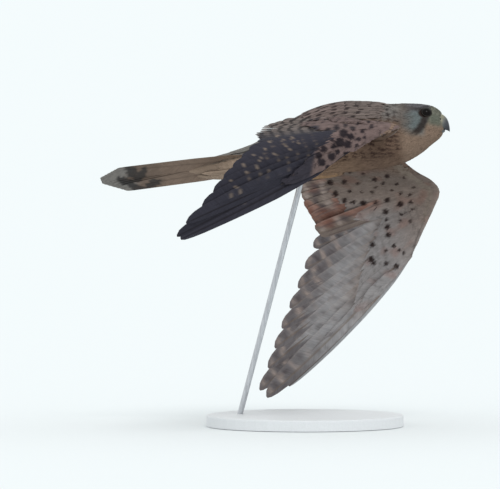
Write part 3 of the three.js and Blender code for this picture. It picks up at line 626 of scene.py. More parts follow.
def speckle(p, size, seed=0.0):
    """A smooth noise from -1 to 1 over points, in lumps of about the size given."""
    x, y, z = (p / size + seed).T
    return (np.sin(x * 1.7 + 1.3 * np.sin(y * 1.1 + seed)) * np.sin(y * 1.9 + 1.1 * np.sin(z * 1.3))
            + np.sin(z * 2.3 + 0.7 * np.sin(x * 1.7))) / 2


def mottle(colour, p, depth, size, seed):
    return colour * (1 + depth * speckle(p, size, seed))[:, None]


def cells(u, v, du, dv, seed):
    """Places along and off the middle of staggered feathers, and two chance numbers of each."""
    row = np.floor(u / du)
    shifted = v / dv + 0.5 * (row % 2)
    column = np.floor(shifted)
    chance = np.sin(row * 127.1 + column * 311.7 + seed) * 43758.5453 % 1
    other = np.sin(row * 269.5 + column * 183.3 + seed) * 24634.6345 % 1
    along = u / du - row + 0.24 * (other - 0.5)
    across = 2 * (shifted - column) - 1 + 0.5 * (chance - 0.5)
    return along, np.abs(across), chance, other


def drops(u, v, du, dv, share, size, seed):
    """Round marks near the ends of some feathers."""
    along, across, chance, other = cells(u, v, du, dv, seed)
    wide = size * (0.7 + 0.6 * other)
    return window(along, 0.24, 0.45, 0.72, 0.92) * fade(across, 0.5 * wide, wide) * (chance < share)


def streaks(u, v, du, dv, share, size, seed):
    """Lines down the middle of some feathers, widening to their ends."""
    along, across, chance, other = cells(u, v, du, dv, seed)
    wide = size * (0.6 + 0.8 * other) * (0.5 + 0.8 * along)
    return window(along, 0.02, 0.2, 0.8, 0.97) * fade(across, 0.4 * wide, wide) * (chance < share)


def back_colour(p, around):
    behind = -p[:, 0]
    colour = paint(C["mantle_grey"], "mantle", smooth(behind, *TO_MANTLE))
    colour = paint(colour, "rump", smooth(behind, *TO_RUMP))
    spots = drops(behind, around, *BACK_SPOTS) * fade(behind, *SPOTS_END) * fade(p[:, 0], 22, 36)
    flecks = streaks(behind, around, *BACK_FLECKS) * fade(p[:, 0], 30, 46)
    return paint(mottle(colour, p, 0.1, 6.0, 3.0), "mantle_dark", np.maximum(0.9 * spots, 0.55 * flecks))


def breast_colour(p, around, height):
    behind = -p[:, 0]
    colour = paint(C["breast"], "belly", smooth(behind, *TO_BELLY))
    colour = paint(colour, "vent", smooth(behind, *TO_VENT))
    lines = streaks(behind, around + 0.35 * behind, *BREAST_LINES) * fade(behind, *LINES_END)
    lines = lines * fade(p[:, 0], 26, 38) * smooth(height, 0.02, 0.12)
    return paint(mottle(colour, p, 0.1, 5.0, 7.0), "streak", 0.88 * lines)


def head_colour(p, angle, height, rise, past_stripe):
    """Cheek, crown, nape, throat and forehead. rise is z in the head's own frame."""
    x = p[:, 0]
    colour = blend(C["cheek"], C["crown"], smooth(height, 0.66, 0.86))
    colour = paint(colour, "nape", fade(x + 2 * speckle(p, 4.0, 6.0), 32, 46) * smooth(height, 0.2, 0.4))
    colour = blend(C["throat"], colour, smooth(height + 0.014 * (x - 45), 0.14, 0.36))
    face = blend(C["throat"], C["forehead"], smooth(rise, -8, 2))
    colour = blend(colour, face, smooth(past_stripe, 1, 4) * smooth(x, 48, 54))
    lines = streaks(-x, angle * 15, *CROWN_LINES) * np.maximum(smooth(height, 0.6, 0.8), fade(x, 40, 48))
    return paint(mottle(colour, p, 0.07, 2.4, 4.0), "mantle_dark", 0.4 * lines * smooth(height, 0.25, 0.4))


def body_colour(p, chord=None):
    """Colour of head, body and thighs at points of the bird's frame."""
    x, z = p[:, 0], p[:, 2]
    top, bottom, half = section(SPINE, x)
    middle, tall = (top + bottom) / 2, np.maximum((top - bottom) / 2, 1)
    height = np.clip((z - bottom) / (2 * tall), -0.2, 1.2)  # 0 at the belly, 1 on the back
    angle = np.arctan2((z - middle) / tall, p[:, 1] / np.maximum(half, 1))
    around = angle * 26
    colour = blend(breast_colour(p, around, height), back_colour(p, around),
                   smooth(height + 0.03 * speckle(p, 4.0, 2.0), 0.52, 0.7))
    hx, hz = in_head(p)
    stripe_x = 11.4 + 0.16 * np.minimum(hz - 2, 0) - 0.036 * np.minimum(hz + 2, 0) ** 2
    stripe_x = stripe_x + 0.5 * speckle(p, 1.6, 2.0)
    head = head_colour(p, angle, height, hz, hx - stripe_x)
    colour = blend(colour, head, smooth(x + 1.5 * speckle(p, 5.0, 1.0), 25, 35))
    # lores before the eye, a stripe down and back from it, a dark rim and a dark line behind it
    side = smooth(np.abs(p[:, 1]), 4, 8)
    colour = paint(colour, "lores", 0.7 * smooth(hx, 14, 17) * fade(np.abs(hz - 1), 3, 7) * side)
    stripe = fade(np.abs(hx - stripe_x), 1.4, 4.8 + 1.2 * smooth(-hz, 2, 10)) * window(hz, -18, -12, 4, 7)
    rim = fade(np.hypot((hx - 10.6) / 1.1, hz - EYE["at"][2]), 4.4, 6.2)
    behind = fade(np.abs(hz - 9.4 + 0.12 * (hx - 4)), 0.6, 3.4) * window(hx, -12, 4, 8, 10)
    dark = np.maximum(np.maximum(0.88 * stripe, rim), 0.6 * behind) * side * smooth(x, 30, 34)
    return paint(colour, "moustache", dark)


def canonical(p, face):
    """Pixels on the face that the photo shows: upper of the right wing, under of the left."""
    q = np.array(p, float)
    q[:, 1] = -np.abs(q[:, 1]) if face > 0 else np.abs(q[:, 1])
    return pixels(q)


def upper_wing_colour(p, chord=0.5):
    """Coverts from above: blotched, dark towards the hand. chord is 0 at the front edge."""
    at, out = canonical(p, 1), np.abs(p[:, 1])
    colour = mottle(blend(C["mantle"], C["covert"], smooth(out, 26, 44)), p, 0.14, 4.0, 2.0)
    spots = drops(-p[:, 0], out, *COVERT_SPOTS) * fade(out, 62, 76)
    flecks = 0.6 * drops(-p[:, 0], out, *COVERT_FLECKS)
    marks = np.maximum(np.maximum(spots, flecks), near_marks(at, UPPER_BLOTCHES) * smooth(out, 58, 66))
    colour = paint(colour, "covert_dark", 0.92 * marks)
    past = HAND_PIXEL[0] - (at[:, 1] - HAND_PIXEL[1]) * HAND_LEAN - at[:, 0]
    left, right = smooth(out + 0.3 * p[:, 0], 96, 106), smooth(past, -1, 4) * smooth(out, 70, 84)
    hand = np.where(p[:, 1] > 0, left, right)
    colour = paint(colour, "remex", 0.94 * hand)
    return paint(colour, "covert_edge", fade(chord, 0.02, 0.08) * smooth(out, 52, 76))


def under_wing_colour(p, chord=0.5):
    """Under wing coverts: pale with round dark spots, warmer next to the body."""
    at, out = canonical(p, -1), np.abs(p[:, 1])
    colour = paint(C["under"], "under_grey", 0.8 * smooth(out, 84, 120))
    colour = paint(colour, "under_rufous", 0.3 * smooth(speckle(p, 7.0, 5.0), 0.1, 0.8))
    colour = mottle(colour, p, 0.08, 3.0, 6.0) * (0.62 + 0.41 * smooth(out, 62, 108))[:, None]
    colour = paint(colour, "breast", 0.8 * fade(out, 34, 62))
    lines = streaks(-p[:, 0], out - 0.4 * p[:, 0], *AXILLARY_LINES) * fade(out, 34, 60)
    colour = paint(colour, "streak", 0.7 * lines)
    colour = paint(colour, "under_lead", 0.6 * fade(chord, 0.03, 0.14))
    flecks = drops(-p[:, 0], out - 0.5 * p[:, 0], *UNDER_FLECKS)
    return paint(colour, "under_spot", np.maximum(0.96 * near_marks(at, UNDER_SPOTS), 0.26 * flecks))


def near_under_colour(p, chord):
    """The right wing from below: like the breast where its wrist lies on it in the photo."""
    brown = blend(0.86 * C["breast"], C["streak"], 0.7 * streaks(-p[:, 0], p[:, 1], *WRIST_LINES))
    brown = blend(brown, upper_wing_colour(p), smooth(np.abs(p[:, 1]), 98, 108))
    return blend(under_wing_colour(p, chord), brown, fade(chord, 0.35, 0.7))


# ---------------------------------------------------------------- feather builder
QUAD = ((0, 0), (0, 1), (1, 1), (1, 0))  # corners of a face: steps along the feather and round the ring
SHAFT_WIDTH, THINNING = 0.12, 0.75
SHARP = math.radians(65)
PATCH, PATCH_END, PATCH_CAP = 0.003, 0.0019, 0.0004  # a small feather's place in the unwrap
CELL_MARGIN, CELL_END, CELL_CAP = (0.02, 0.03), 0.012, 0.0006  # a large feather's


class Vanes:
    """Closed feather vanes: N feathers of R rows, in points (N, R, ring, 3) of the bird's frame.

    along, across and face say for each point how far it is along its feather (0 to 1) and across it
    (-1 to 1), and whether it is on the upper (1) or under (-1) face."""

    def __init__(self, t, centres, normals, widths, thick, camber, columns, ridge=0.0, lead=None):
        ahead, behind = widths
        tangents = unit(np.gradient(centres, axis=1))
        side = unit(np.cross(normals, tangents))
        if lead is not None:
            side *= np.sign(np.sum(side * lead, -1, keepdims=True) + 1e-9)
        up = unit(np.cross(tangents, side))
        up *= np.sign(np.sum(up * normals, -1, keepdims=True))
        line = np.linspace(-1, 1, columns)
        ring = np.concatenate([line, line[-2:0:-1]])
        face = np.concatenate([[0], np.ones(columns - 2), [0], -np.ones(columns - 2)])
        width = np.where(ring > 0, ahead[..., None], behind[..., None])
        shaft = np.exp(-(ring / SHAFT_WIDTH) ** 2) * ridge
        rise = face * (thick[..., None] * (1 - THINNING * np.abs(ring)) / 2 + shaft)
        rise = rise - camber * width * ring**2
        self.points = (centres[:, :, None] + side[:, :, None] * (width * ring)[..., None]
                       + up[:, :, None] * rise[..., None])
        self.shape = self.points.shape[:3]
        self.along, self.across, self.face = (
            np.broadcast_to(v, self.shape).ravel() for v in (t[:, None], ring, face))
        self.barb = self.barb_places(ring, (ahead + behind) / 2)

    def barb_places(self, ring, width):
        """Where each point lies along the slanting barbs: a coordinate that is equal along one barb."""
        steps = np.diff(self.points[:, :, 0], axis=1, prepend=self.points[:, :1, 0])
        along = np.cumsum(np.linalg.norm(steps, axis=-1), 1)
        off = np.abs(ring) * width[..., None]
        feather = np.broadcast_to(np.arange(self.shape[0])[:, None, None] * 7.3, self.shape)
        return np.stack([along[..., None] - 0.9 * off, off * 0.08, feather + 3 * (ring < 0)], -1)

    def flat(self, side=1):
        """All points in one list, on the given side of the bird."""
        return self.points.reshape(-1, 3) * sideways(side)

    def each(self, values):
        """Values of the feathers, repeated for their points."""
        return np.repeat(values, self.shape[1] * self.shape[2])

    def build(self, name, tint, uv, side=1):
        layers = [v.reshape(self.points.shape) for v in (self.flat(side), tint, self.barb)]
        if side < 0:  # the ring turned round, so that the faces keep their outside
            layers = [v[:, :, -np.arange(self.shape[2])] for v in layers]
        return vane_mesh(name, *layers, uv)


def patch_uv(spots, row, turn, rows, sides, disc):
    """UVs of sides, root and tip: each feather has a small patch of the unwrap of what it grows on."""
    place = np.stack([turn / sides - 0.5, row / (rows - 1) - 0.5], -1)
    quads = spots[:, None, None, None] + place[None] * PATCH
    root = spots[:, None] + disc[::-1] * PATCH_CAP - [0, PATCH_END]
    return quads, root, spots[:, None] + disc * PATCH_CAP + [0, PATCH_END]


def cell_uv(boxes, row, turn, rows, sides, disc):
    """UVs of sides, root and tip: each feather has a rectangle, with its upper face on the left half."""
    x0, y0, x1, y1 = (boxes[:, k][:, None, None, None] for k in range(4))
    face = sides // 2  # steps across one face
    upper = (turn[..., :1] < face)[None]
    step = np.where(upper, turn / face, 2 - turn / face)
    half = (x1 - x0) / 2
    gap = (x1 - x0) * CELL_MARGIN[0]
    u = np.where(upper, x0, x0 + half) + gap + step * (half - 2 * gap)
    v = y0 + (y1 - y0) * (CELL_MARGIN[1] + (1 - 2 * CELL_MARGIN[1]) * row[None] / (rows - 1))
    quads = np.stack([u, np.broadcast_to(v, u.shape)], -1)
    middle, inset = (boxes[:, 0] + boxes[:, 2]) / 2, CELL_END * (boxes[:, 3] - boxes[:, 1])
    ends = boxes[:, 1] + inset, boxes[:, 3] - inset
    root, tip = (np.stack([middle, end], -1)[:, None] for end in ends)
    return quads, root + disc[::-1] * CELL_CAP, tip + disc * CELL_CAP


def vane_mesh(name, points, tint, barb, uv):
    """A piece from (N, R, ring, 3) points, tints and barb places, and UV patches or rectangles."""
    n, rows, sides = points.shape[:3]
    r, j = np.meshgrid(np.arange(rows - 1), np.arange(sides), indexing="ij")
    row, turn = (np.stack([v + corner[k] for corner in QUAD], -1) for k, v in enumerate((r, j)))
    first = (np.arange(n) * rows * sides)[:, None]
    quads = (first[..., None, None] + row * sides + turn % sides).reshape(-1, 4)
    root = first + np.arange(sides)[::-1]
    tip = first + (rows - 1) * sides + np.arange(sides)
    patches = uv.shape[1] == 2
    corners = (patch_uv if patches else cell_uv)(uv, row, turn, rows, sides, np.stack(circle(sides), -1))
    obj = mesh_object(name, world(points.reshape(-1, 3)), [quads, root, tip], tint.reshape(-1, 3),
                      np.concatenate([v.reshape(-1, 2) for v in corners]))
    mesh = obj.data
    mesh.set_sharp_from_angle(angle=SHARP)
    places = np.asarray(barb, np.float32).reshape(-1)
    mesh.attributes.new("barb", "FLOAT_VECTOR", "POINT").data.foreach_set("vector", places)
    if not patches:
        turn_outward(mesh)
    return obj


def turn_outward(mesh):
    """Faces of each closed vane turned outside."""
    bm = bmesh.new()
    bm.from_mesh(mesh)
    bmesh.ops.recalc_face_normals(bm, faces=bm.faces)
    bm.to_mesh(mesh)
    bm.free()


def boxes_for(n, columns):
    """Rectangles side by side, in rows, one for each feather."""
    lines = math.ceil(n / columns)
    x, y = np.arange(n) % columns, np.arange(n) // columns
    corners = [((x + inset) / columns, (y + inset) / lines) for inset in (0.04, 0.96)]
    return np.stack(sum(corners, ()), 1)


class Coat:
    """Small feathers of several regions, walked over a surface, meshed and coloured where they lie."""

    ROWS, COLUMNS, THICK, CAMBER = 4, 3, 0.1, 0.1
    SHAPE = {0: 0.5, 0.33: 1, 0.67: 0.78, 0.85: 0.5, 1: 0.07}
    REACH = 0.0022  # a root further than this from the surface is left out, in metres

    def __init__(self, surface):
        self.surface, self.painters, self.parts = surface, [], []

    def add(self, root, out, lie, length, half, lift, uv, colour_of, chord=0.5):
        """Feathers from their roots, the ways out and down the feather, sizes, UVs and colours."""
        n = len(root)
        sizes = {"length": length, "half": half, "lift": lift, "chord": chord,
                 "painter": len(self.painters)}
        self.painters.append(colour_of)
        sizes = {key: np.broadcast_to(np.asarray(v, float), (n,)) for key, v in sizes.items()}
        self.parts.append({"root": root, "out": np.broadcast_to(out, (n, 3)), "lie": lie, "uv": uv,
                           **sizes})

    def walk(self, feathers):
        """Places and normals down each feather, and which of them lie well."""
        n = len(feathers["root"])
        centres, normals = np.empty((2, n, self.ROWS, 3))
        keep = np.zeros(n, bool)
        roots = world(feathers["root"])
        lies, outs = feathers["lie"] @ TURN.T, feathers["out"] @ TURN.T
        for i in range(n):
            p, normal, _, away = self.surface.find_nearest(Vector(roots[i]))
            if away > self.REACH or normal.dot(Vector(outs[i])) < 0.25:
                continue
            d = Vector(lies[i])
            step = feathers["length"][i] * MM / (self.ROWS - 1)
            for k in range(self.ROWS):
                if k:
                    p, normal, _, _ = self.surface.find_nearest(p + d * step)
                d = (d - normal * d.dot(normal)).normalized()
                centres[i, k], normals[i, k] = p, normal
            keep[i] = normals[i, 0] @ normals[i, -1] > 0.2  # not folded over an edge
        return bird_points(centres[keep]), normals[keep] @ TURN, keep

    def build(self, name, sink=0.5):
        feathers = {key: np.concatenate([part[key] for part in self.parts]) for key in self.parts[0]}
        centres, normals, keep = self.walk(feathers)
        feathers = {key: v[keep] for key, v in feathers.items()}
        t = np.linspace(0, 1, self.ROWS)
        lift = feathers["lift"][:, None] * smooth(t, -0.05, 0.6) * (1 - 0.22 * t**2)
        lift = lift - sink * fade(t, 0, 0.3)
        width = feathers["half"][:, None] * through(t, self.SHAPE)
        thick = np.full(width.shape, self.THICK) * (1 - 0.6 * t)
        vanes = Vanes(t, centres + normals * lift[..., None], normals, (width, width), thick, self.CAMBER,
                      self.COLUMNS)
        flat, painter, chord = vanes.flat(), vanes.each(feathers["painter"]), vanes.each(feathers["chord"])
        tint = np.zeros_like(flat)
        for k, colour_of in enumerate(self.painters):
            mine = painter == k
            tint[mine] = colour_of(flat[mine], chord[mine])
        along = vanes.along
        tint = tint * (0.96 + 0.04 * smooth(along, 0, 0.5) + 0.05 * smooth(along, 0.8, 1))[:, None]
        tint = np.clip(tint * vanes.each(rng.uniform(0.9, 1.1, len(centres)))[:, None], 0, 1)
        return vanes.build(name, tint, feathers["uv"])


# ---------------------------------------------------------------- skin
COAT_DEPTH = {30: COAT, 50: 0.75}  # thinnest on the face
# Fuller throat, forehead and nape, and a small chin: x, half length, how far out
THROAT, FOREHEAD, NAPE, CHIN = (46, 11, 1.4), (64, 6, 1.5), (36, 8, 1.1), (66, 4, -0.9)


def skin_out(x, degrees):
    """Where the skin lies from the body's outer surface."""
    def bulge(centre, half, out):
        return out * np.exp(-((x - centre) / half) ** 2)

    rise = np.sin(np.radians(degrees))
    above, below = smooth(rise, 0.1, 0.8), smooth(-rise, 0.1, 0.8)
    return (bulge(*THROAT) * smooth(-rise, 0.3, 1) + (bulge(*FOREHEAD) + bulge(*NAPE)) * above
            + bulge(*CHIN) * below - through(x, COAT_DEPTH))


def body_flesh(sides=72):
    rows = SPINE[SPINE[:, 0] <= BODY[0][0]]
    a = np.linspace(0, 360, sides, endpoint=False)
    return loft([body_at(np.full(sides, x), a, skin_out(x, a)) for x in rows[:, 0]])


def wing_flesh(wing):
    centre, fore, up, thick = flesh_frame(wing)
    c, s = circle(36)
    long = np.linalg.norm(fore, axis=1)[:, None]
    ahead = wing["proud"] * smooth(centre[:, 1:2], 40, 75) / long
    stretch = 1 + np.where(c[None] > 0, ahead, -COAT / long)
    rings = (centre[:, None] + (c[None] * stretch)[..., None] * fore[:, None]
             + (s[None] * (thick - COAT)[:, None])[..., None] * up[:, None])
    return mirrored(loft(rings), wing["side"])


def thigh_flesh(side):
    a, b = np.array(THIGH["from"], float), np.array(THIGH["to"], float)
    stations = [[*(a + (b - a) * t), radius] for t, radius in THIGH["radii"].items()]
    rows = curve(stations, 6)
    return mirrored(tube(rows[:, :3], rows[:, 3] - COAT, 24), side)


def brow_flesh(side):
    return ball(on_head(BROW["at"] * sideways(side)), BROW["size"], 16)


def skin_colour(p, up):
    """The coat's colours carried on to the skin, from its points and the rise of its normals."""
    above = (up > np.where(p[:, 1] < 0, -0.6, 0))[:, None]
    wing = np.where(above, upper_wing_colour(p), under_wing_colour(p))
    return blend(body_colour(p), wing, smooth(np.abs(p[:, 1]), 28, 34))


def build_skin():
    pieces = [body_flesh()] + [wing_flesh(wing) for wing in WINGS.values()]
    for side in SIDES.values():
        pieces += [thigh_flesh(side), brow_flesh(side)]
    skin = fused("skin", pieces, 1.1, 4)
    up = (vertex_values(skin, "vector") @ TURN)[:, 2]
    paint_points(skin.data, 0.94 * skin_colour(bird_points(vertex_values(skin)), up))
    return finish(skin, SKIN, "torso", "torso", "neck", "head")


skin_object = build_skin()
skin_points = vertex_values(skin_object)
skin_faces = [tuple(p.vertices) for p in skin_object.data.polygons]
skin_surface = BVHTree.FromPolygons([Vector(v) for v in skin_points], skin_faces)


# ---------------------------------------------------------------- coat of the head and body
BODY_GAPS = {-128: 2.9, -90: 2.6, -40: 2.3, 0: 2.1, 20: 1.8, 32: 1.3, 45: 1.0, 60: 0.85, 67: 0.75}
FIRST_ROW, ROW_STEP = 67.6, 0.85
TUFT_LENGTH = {-100: 4.2, 30: 4.4}  # in gaps between feathers
TUFT_LIFT = {30: 1.6, 42: 1.1, 66: 0.85}


def body_lattice():
    """Staggered rows of feather roots down the body: x, angle, spacing."""
    rows, x = [], FIRST_ROW
    while x > COAT_END:
        gap = through(x, BODY_GAPS)
        top, bottom, half = section(SPINE, x)
        count = max(int(math.pi * (half + (top - bottom) / 2) / (gap * ROW_STEP)), 8)
        a = (np.arange(count) + 0.5 * (len(rows) % 2)) * 360 / count
        a = a + rng.uniform(-0.35, 0.35, count) * 360 / count
        rows.append([x + rng.uniform(-0.4, 0.4, count) * gap, a % 360, np.full(count, gap)])
        x -= gap * ROW_STEP
    return np.concatenate(rows, axis=1)


def clear_of_face(p):
    """Roots that keep off the eye, its ring and the bill."""
    eye = on_head(EYE["at"]) + [0, 1.5, 0]
    folded = np.column_stack([p[:, 0], np.abs(p[:, 1]), p[:, 2]])
    clear = np.linalg.norm(folded - eye, axis=1) > EYE["clear"]
    x, z = in_head(p)
    for rows in (BILL_UPPER, BILL_LOWER):
        top, bottom, half = section(rows, x)
        off = (p[:, 1] / half) ** 2 + ((z - (top + bottom) / 2) / ((top - bottom) / 2)) ** 2
        clear &= (off >= 1) | (x <= COAT_AT_BILL)
    return clear


def build_body_coats():
    lattice = body_lattice()
    clear = clear_of_face(body_at(lattice[0], lattice[1], skin_out(lattice[0], lattice[1])))
    on_head_part = lattice[0] > HEAD_ROOT
    for name, slot, mine in (("coat_head", "head", on_head_part), ("coat_body", "torso", ~on_head_part)):
        x, angle, gap = lattice[:, clear & mine]
        n = len(x)
        length = gap * through(x, TUFT_LENGTH) * rng.uniform(0.72, 1.25, n)
        lie = np.stack([np.full(n, -1.0), *rng.uniform(-0.2, 0.2, (2, n))], -1)
        uv = 0.02 + 0.96 * np.stack([(x - x.min()) / (x.max() - x.min()), angle / 360], -1)
        out = unit(body_at(x, angle, 1) - body_at(x, angle, 0))
        lift = through(x, TUFT_LIFT) * rng.uniform(0.85, 1.15, n)
        coat = Coat(skin_surface)
        root = body_at(x, angle, skin_out(x, angle))
        coat.add(root, out, lie, length, gap * 0.66, lift, uv, body_colour)
        finish(coat.build(name), SOFT, slot)


build_body_coats()

# ---------------------------------------------------------------- flight feathers
# Widths of a feather along its length, as shares of its full width
VANE_T = (0, 0.06, 0.14, 0.22, 0.45, 0.72, 0.88, 0.95, 0.985, 1)
OUTLINES = {name: dict(zip(VANE_T, widths)) for name, widths in {
    "primary": (0.1, 0.14, 0.6, 0.82, 1, 0.97, 0.8, 0.6, 0.36, 0.1),
    "inner": (0.1, 0.14, 0.6, 0.82, 1, 0.97, 0.96, 0.9, 0.8, 0.5),
    "edge_left": (0.08, 0.3, 0.62, 0.84, 1, 0.97, 0.8, 0.6, 0.36, 0.1),
    "edge_right": (0.3, 0.4, 0.66, 1.04, 1.12, 0.84, 0.66, 0.5, 0.34, 0.1),
}.items()}
OUTLINES["covert"] = {0: 0.12, 0.12: 0.4, 0.35: 0.9, 0.65: 1, 0.85: 0.82, 0.95: 0.5, 1: 0.12}
OUTLINES["tail"] = {0: 0.66, 0.2: 1.2, 0.45: 1.14, 0.8: 0.84, 0.93: 0.72, 0.965: 0.66, 0.985: 0.56, 1: 0.3}
# How much longer than in the solids flight feathers are drawn, so that the outline follows the photo
TRIM = {
    "left": {"primary": {0: -1.6, 2: -2.8, 3: -3, 4: -0.4, 5: 2.8, 6: 6, 7: 7, 8: -1, 9: -1.4},
             "secondary": {0: -5.6, 6: -5.6, 7: -6.2, 8: -6.2, 9: -4.6}, "tertial": {0: -5.6}},
    "right": {"primary": {0: -0.5, 1: -0.5, 2: -2.6, 4: -2.6, 5: -4, 7: -4, 8: -0.8, 9: -0.8},
              "secondary": {3: -3.5, 4: 0}, "tertial": {0: -3.5}},
}
# Covert tiers: face, first and last flight feather, share of its length, height, ahead, behind
TIERS = [
    (1, 13, 21, 0.25, 2.9, 4.5, 8), (1, 13, 21, 0.37, 2.2, 4.5, 8),
    (1, 0, 12, 0.46, 3.2, 7, 9), (1, 0, 12, 0.33, 4.4, 7.5, 9),
    (-1, 2, 12, 0.6, 2.4, 8, 9), (-1, 2, 12, 0.46, 2.9, 8, 9), (-1, 2, 12, 0.3, 3.4, 8, 9),
    (-1, 13, 22, 0.36, 2.8, 6.5, 10), (-1, 13, 22, 0.24, 3.2, 6.5, 9),
]
SETTLING = {0: 1.2, 1: 2.2, 2: 3.0, 3: 3.6, 4: 4.0, 5: 4.2}  # how the arm's upper tiers sink outwards
COVERT_SUNK = {1: 1.2, -1: 1.8}
PILE = 1.6


def lay(feathers, rows, columns, ridge, camber=0.1):
    """Vanes from feathers' roots, tips, ways up and ahead, outlines, tilts, sweeps and sags."""
    t = np.linspace(0, 1, rows)
    bow = 4 * t * (1 - t)
    laid = []
    for f in feathers:
        centre = f["root"] + (f["tip"] - f["root"]) * t[:, None]
        centre = centre + f["lead"] * (f.get("sweep", 0) * bow)[:, None]
        centre = centre - f["up"] * (f.get("sag", 0) * bow)[:, None]
        tangent = unit(np.gradient(centre, axis=0))
        flat = unit(f["lead"] - tangent * np.sum(f["lead"] * tangent, 1, keepdims=True))
        normal = np.cross(tangent, flat)
        normal *= np.sign(np.sum(normal * f["up"], 1, keepdims=True))
        tilt = math.radians(f.get("tilt", 0))
        wide = through(t, OUTLINES[f.get("outline", "primary")])
        laid.append((centre, normal * math.cos(tilt) - flat * math.sin(tilt),
                     flat * math.cos(tilt) + normal * math.sin(tilt),
                     f["ahead"] * wide, f["behind"] * wide, f["thick"] * (1 - 0.35 * t)))
    centres, normals, leads, ahead, behind, thick = map(np.array, zip(*laid))
    return Vanes(t, centres, normals, (ahead, behind), thick, camber, columns, ridge, leads)


def remex_above(p, v, number, length, one, inner):
    """Blackish with paler fringes and buff notches on the inner vanes, spotted near the body."""
    off, mm = np.abs(v.across), v.along * length
    dash = smooth(np.sin((mm / 11 + number * 0.37) * 2 * math.pi), 0.45, 0.8)
    dash = dash * fade(np.abs(v.across + 0.55), 0.12, 0.34) * smooth(speckle(p, 7.0, 5.0), -0.3, 0.4)
    bars = smooth(np.sin((mm / 9 + one) * 2 * math.pi) + 0.4 * speckle(p, 4.0, 2.0), 0.0, 0.6)
    spotted = C["mantle"] * (0.88 + 0.1 * speckle(p, 5.0, 3.0))[:, None]
    spotted = paint(spotted, "mantle_dark", 0.85 * bars)
    colour = blend(C["remex"] * (0.86 + 0.28 * one)[:, None], spotted, inner)
    colour = paint(colour, "notch", 0.6 * dash * fade(v.along, 0.7, 0.82))
    colour = paint(colour, "remex_edge", 0.15 * smooth(off, 0.93, 1) + 0.3 * smooth(v.along, 0.985, 1))
    colour = paint(colour, "shaft_dark", 0.8 * fade(off, 0.02, 0.1))
    return paint(colour, "notch", 0.7 * near_marks(canonical(p, 1), UPPER_NOTCHES))


def remex_below(p, v, number, length, one, primary, pale_edge):
    """Primaries pale grey, barred towards their tips, and inner feathers with rufous waves."""
    t, u, off = v.along, v.across, np.abs(v.across)
    outer = primary & (number == PRIMARY_COUNT - 1)
    from_end = length - t * length
    uneven, patchy = speckle(p, 11.0, 3.0), speckle(p, 3.6, 12.0)
    wave = (0.25 - (from_end + 5 * one) / (16 + 3 * one) + 0.16 * uneven) * 2 * math.pi
    bar = smooth(np.sin(wave) + 0.5 * patchy, -0.1, 0.9)
    pale = smooth(np.sin(wave + math.pi) + 0.4 * patchy, 0.3, 1.1)
    reach = np.where(primary, 1 - 0.85 * smooth(from_end + 8 * uneven, 22, 75),
                     0.35 + 0.65 * smooth(t, 0.6, 0.8))
    reach = np.where(outer, window(t, 0.2, 0.28, 0.75, 0.9), reach)
    vane = np.where(outer, window(-u, -0.1, 0.1, 0.4, 0.75), fade(np.abs(u + 0.4), 0.3, 0.75))
    shade = 0.58 * primary * fade(from_end + 6 * patchy, 30, 75)
    colour = paint(C["under"], "under_grey", primary * smooth(t, 0.2, 0.5))
    # Painted light and shade: the feathers are made brighter near their bases and darker towards their
    # tips, to even out the light and shade that falls over the wing's shape.
    colour = mottle(colour * (1.12 - 0.28 * smooth(t, 0.4, 0.85))[:, None], p, 0.1, 9.0, 8.0)
    colour = paint(colour, "under_bar", np.maximum((0.78 + 0.1 * outer) * bar * vane * reach, shade))
    colour = paint(colour, "under_edge", 0.85 * pale * vane * reach * ~outer)
    colour = paint(colour, "under_bar", 0.34 * primary * smooth(patchy, 0.0, 0.8))
    colour = paint(colour, "under_rufous", 0.6 * ~primary * smooth(uneven - 0.5 * u, 0.0, 0.6))
    lines = smooth(np.sin(u * 9 + number * 2.1 + 0.6 * uneven), 0.5, 0.95)
    colour = paint(colour, "under_bar", 0.6 * ~primary * lines * fade(t, 0.9, 1))
    colour = paint(colour, "under_tip", 0.55 * primary * fade(from_end + 2 * patchy, 3, 12))
    colour = paint(colour, "under_pale", 0.9 * outer * smooth(u, 0.1, 0.3) * pale_edge)
    colour = paint(colour, "under_edge", 0.2 * smooth(off, 0.93, 1))
    colour = paint(colour, "shaft", 0.7 * fade(off, 0.02, 0.1))
    at = canonical(p, -1)
    return paint(colour, "under_spot", 0.85 * near_marks(at, UNDER_SPOTS) * fade(at[:, 1], *LOWEST_SPOTS))


def remex_tint(v, feathers, edges_from_above):
    """Colours of the flight feathers of one wing, both faces."""
    p = v.flat()
    number = v.each([f["n"] for f in feathers])
    length = v.each([np.linalg.norm(f["tip"] - f["root"]) for f in feathers])
    primary = v.each([f["kind"] == "primary" for f in feathers])
    inner = v.each([{"tertial": 1.0, "secondary": fade(f["n"], 1, 9), "primary": 0.0}[f["kind"]]
                    for f in feathers])
    one = v.each(rng.uniform(0, 1, len(feathers)))
    above = remex_above(p, v, number, length, one, inner)
    below = remex_below(p, v, number, length, one, primary, not edges_from_above)
    return blend(below, above, smooth(v.face + (0.5 if edges_from_above else -0.5), -0.2, 0.2))


def covert_tint(v, p, face):
    one, off = v.each(rng.uniform(0, 1, v.shape[0])), np.abs(v.across)
    if face > 0:
        mark = window(v.along, 0.6, 0.72, 0.9, 0.97) * fade(off, 0.35, 0.8)
        mark = mark * fade(np.abs(p[:, 1]), 66, 80)
        colour = paint(upper_wing_colour(p), "covert_dark", 0.85 * mark * (one < 0.8))
        colour = paint(colour, "covert_edge", 0.3 * smooth(v.along, 0.95, 1))
        return colour * (0.9 + 0.2 * one)[:, None]
    mark = window(v.along, 0.72, 0.8, 0.9, 0.97) * fade(off, 0.25, 0.6)
    colour = paint(under_wing_colour(p), "under_bar", 0.55 * mark * (one < 0.6))
    colour = paint(colour, "under_edge", 0.12 * smooth(v.along, 0.93, 1))
    return colour * (0.94 + 0.12 * one)[:, None]


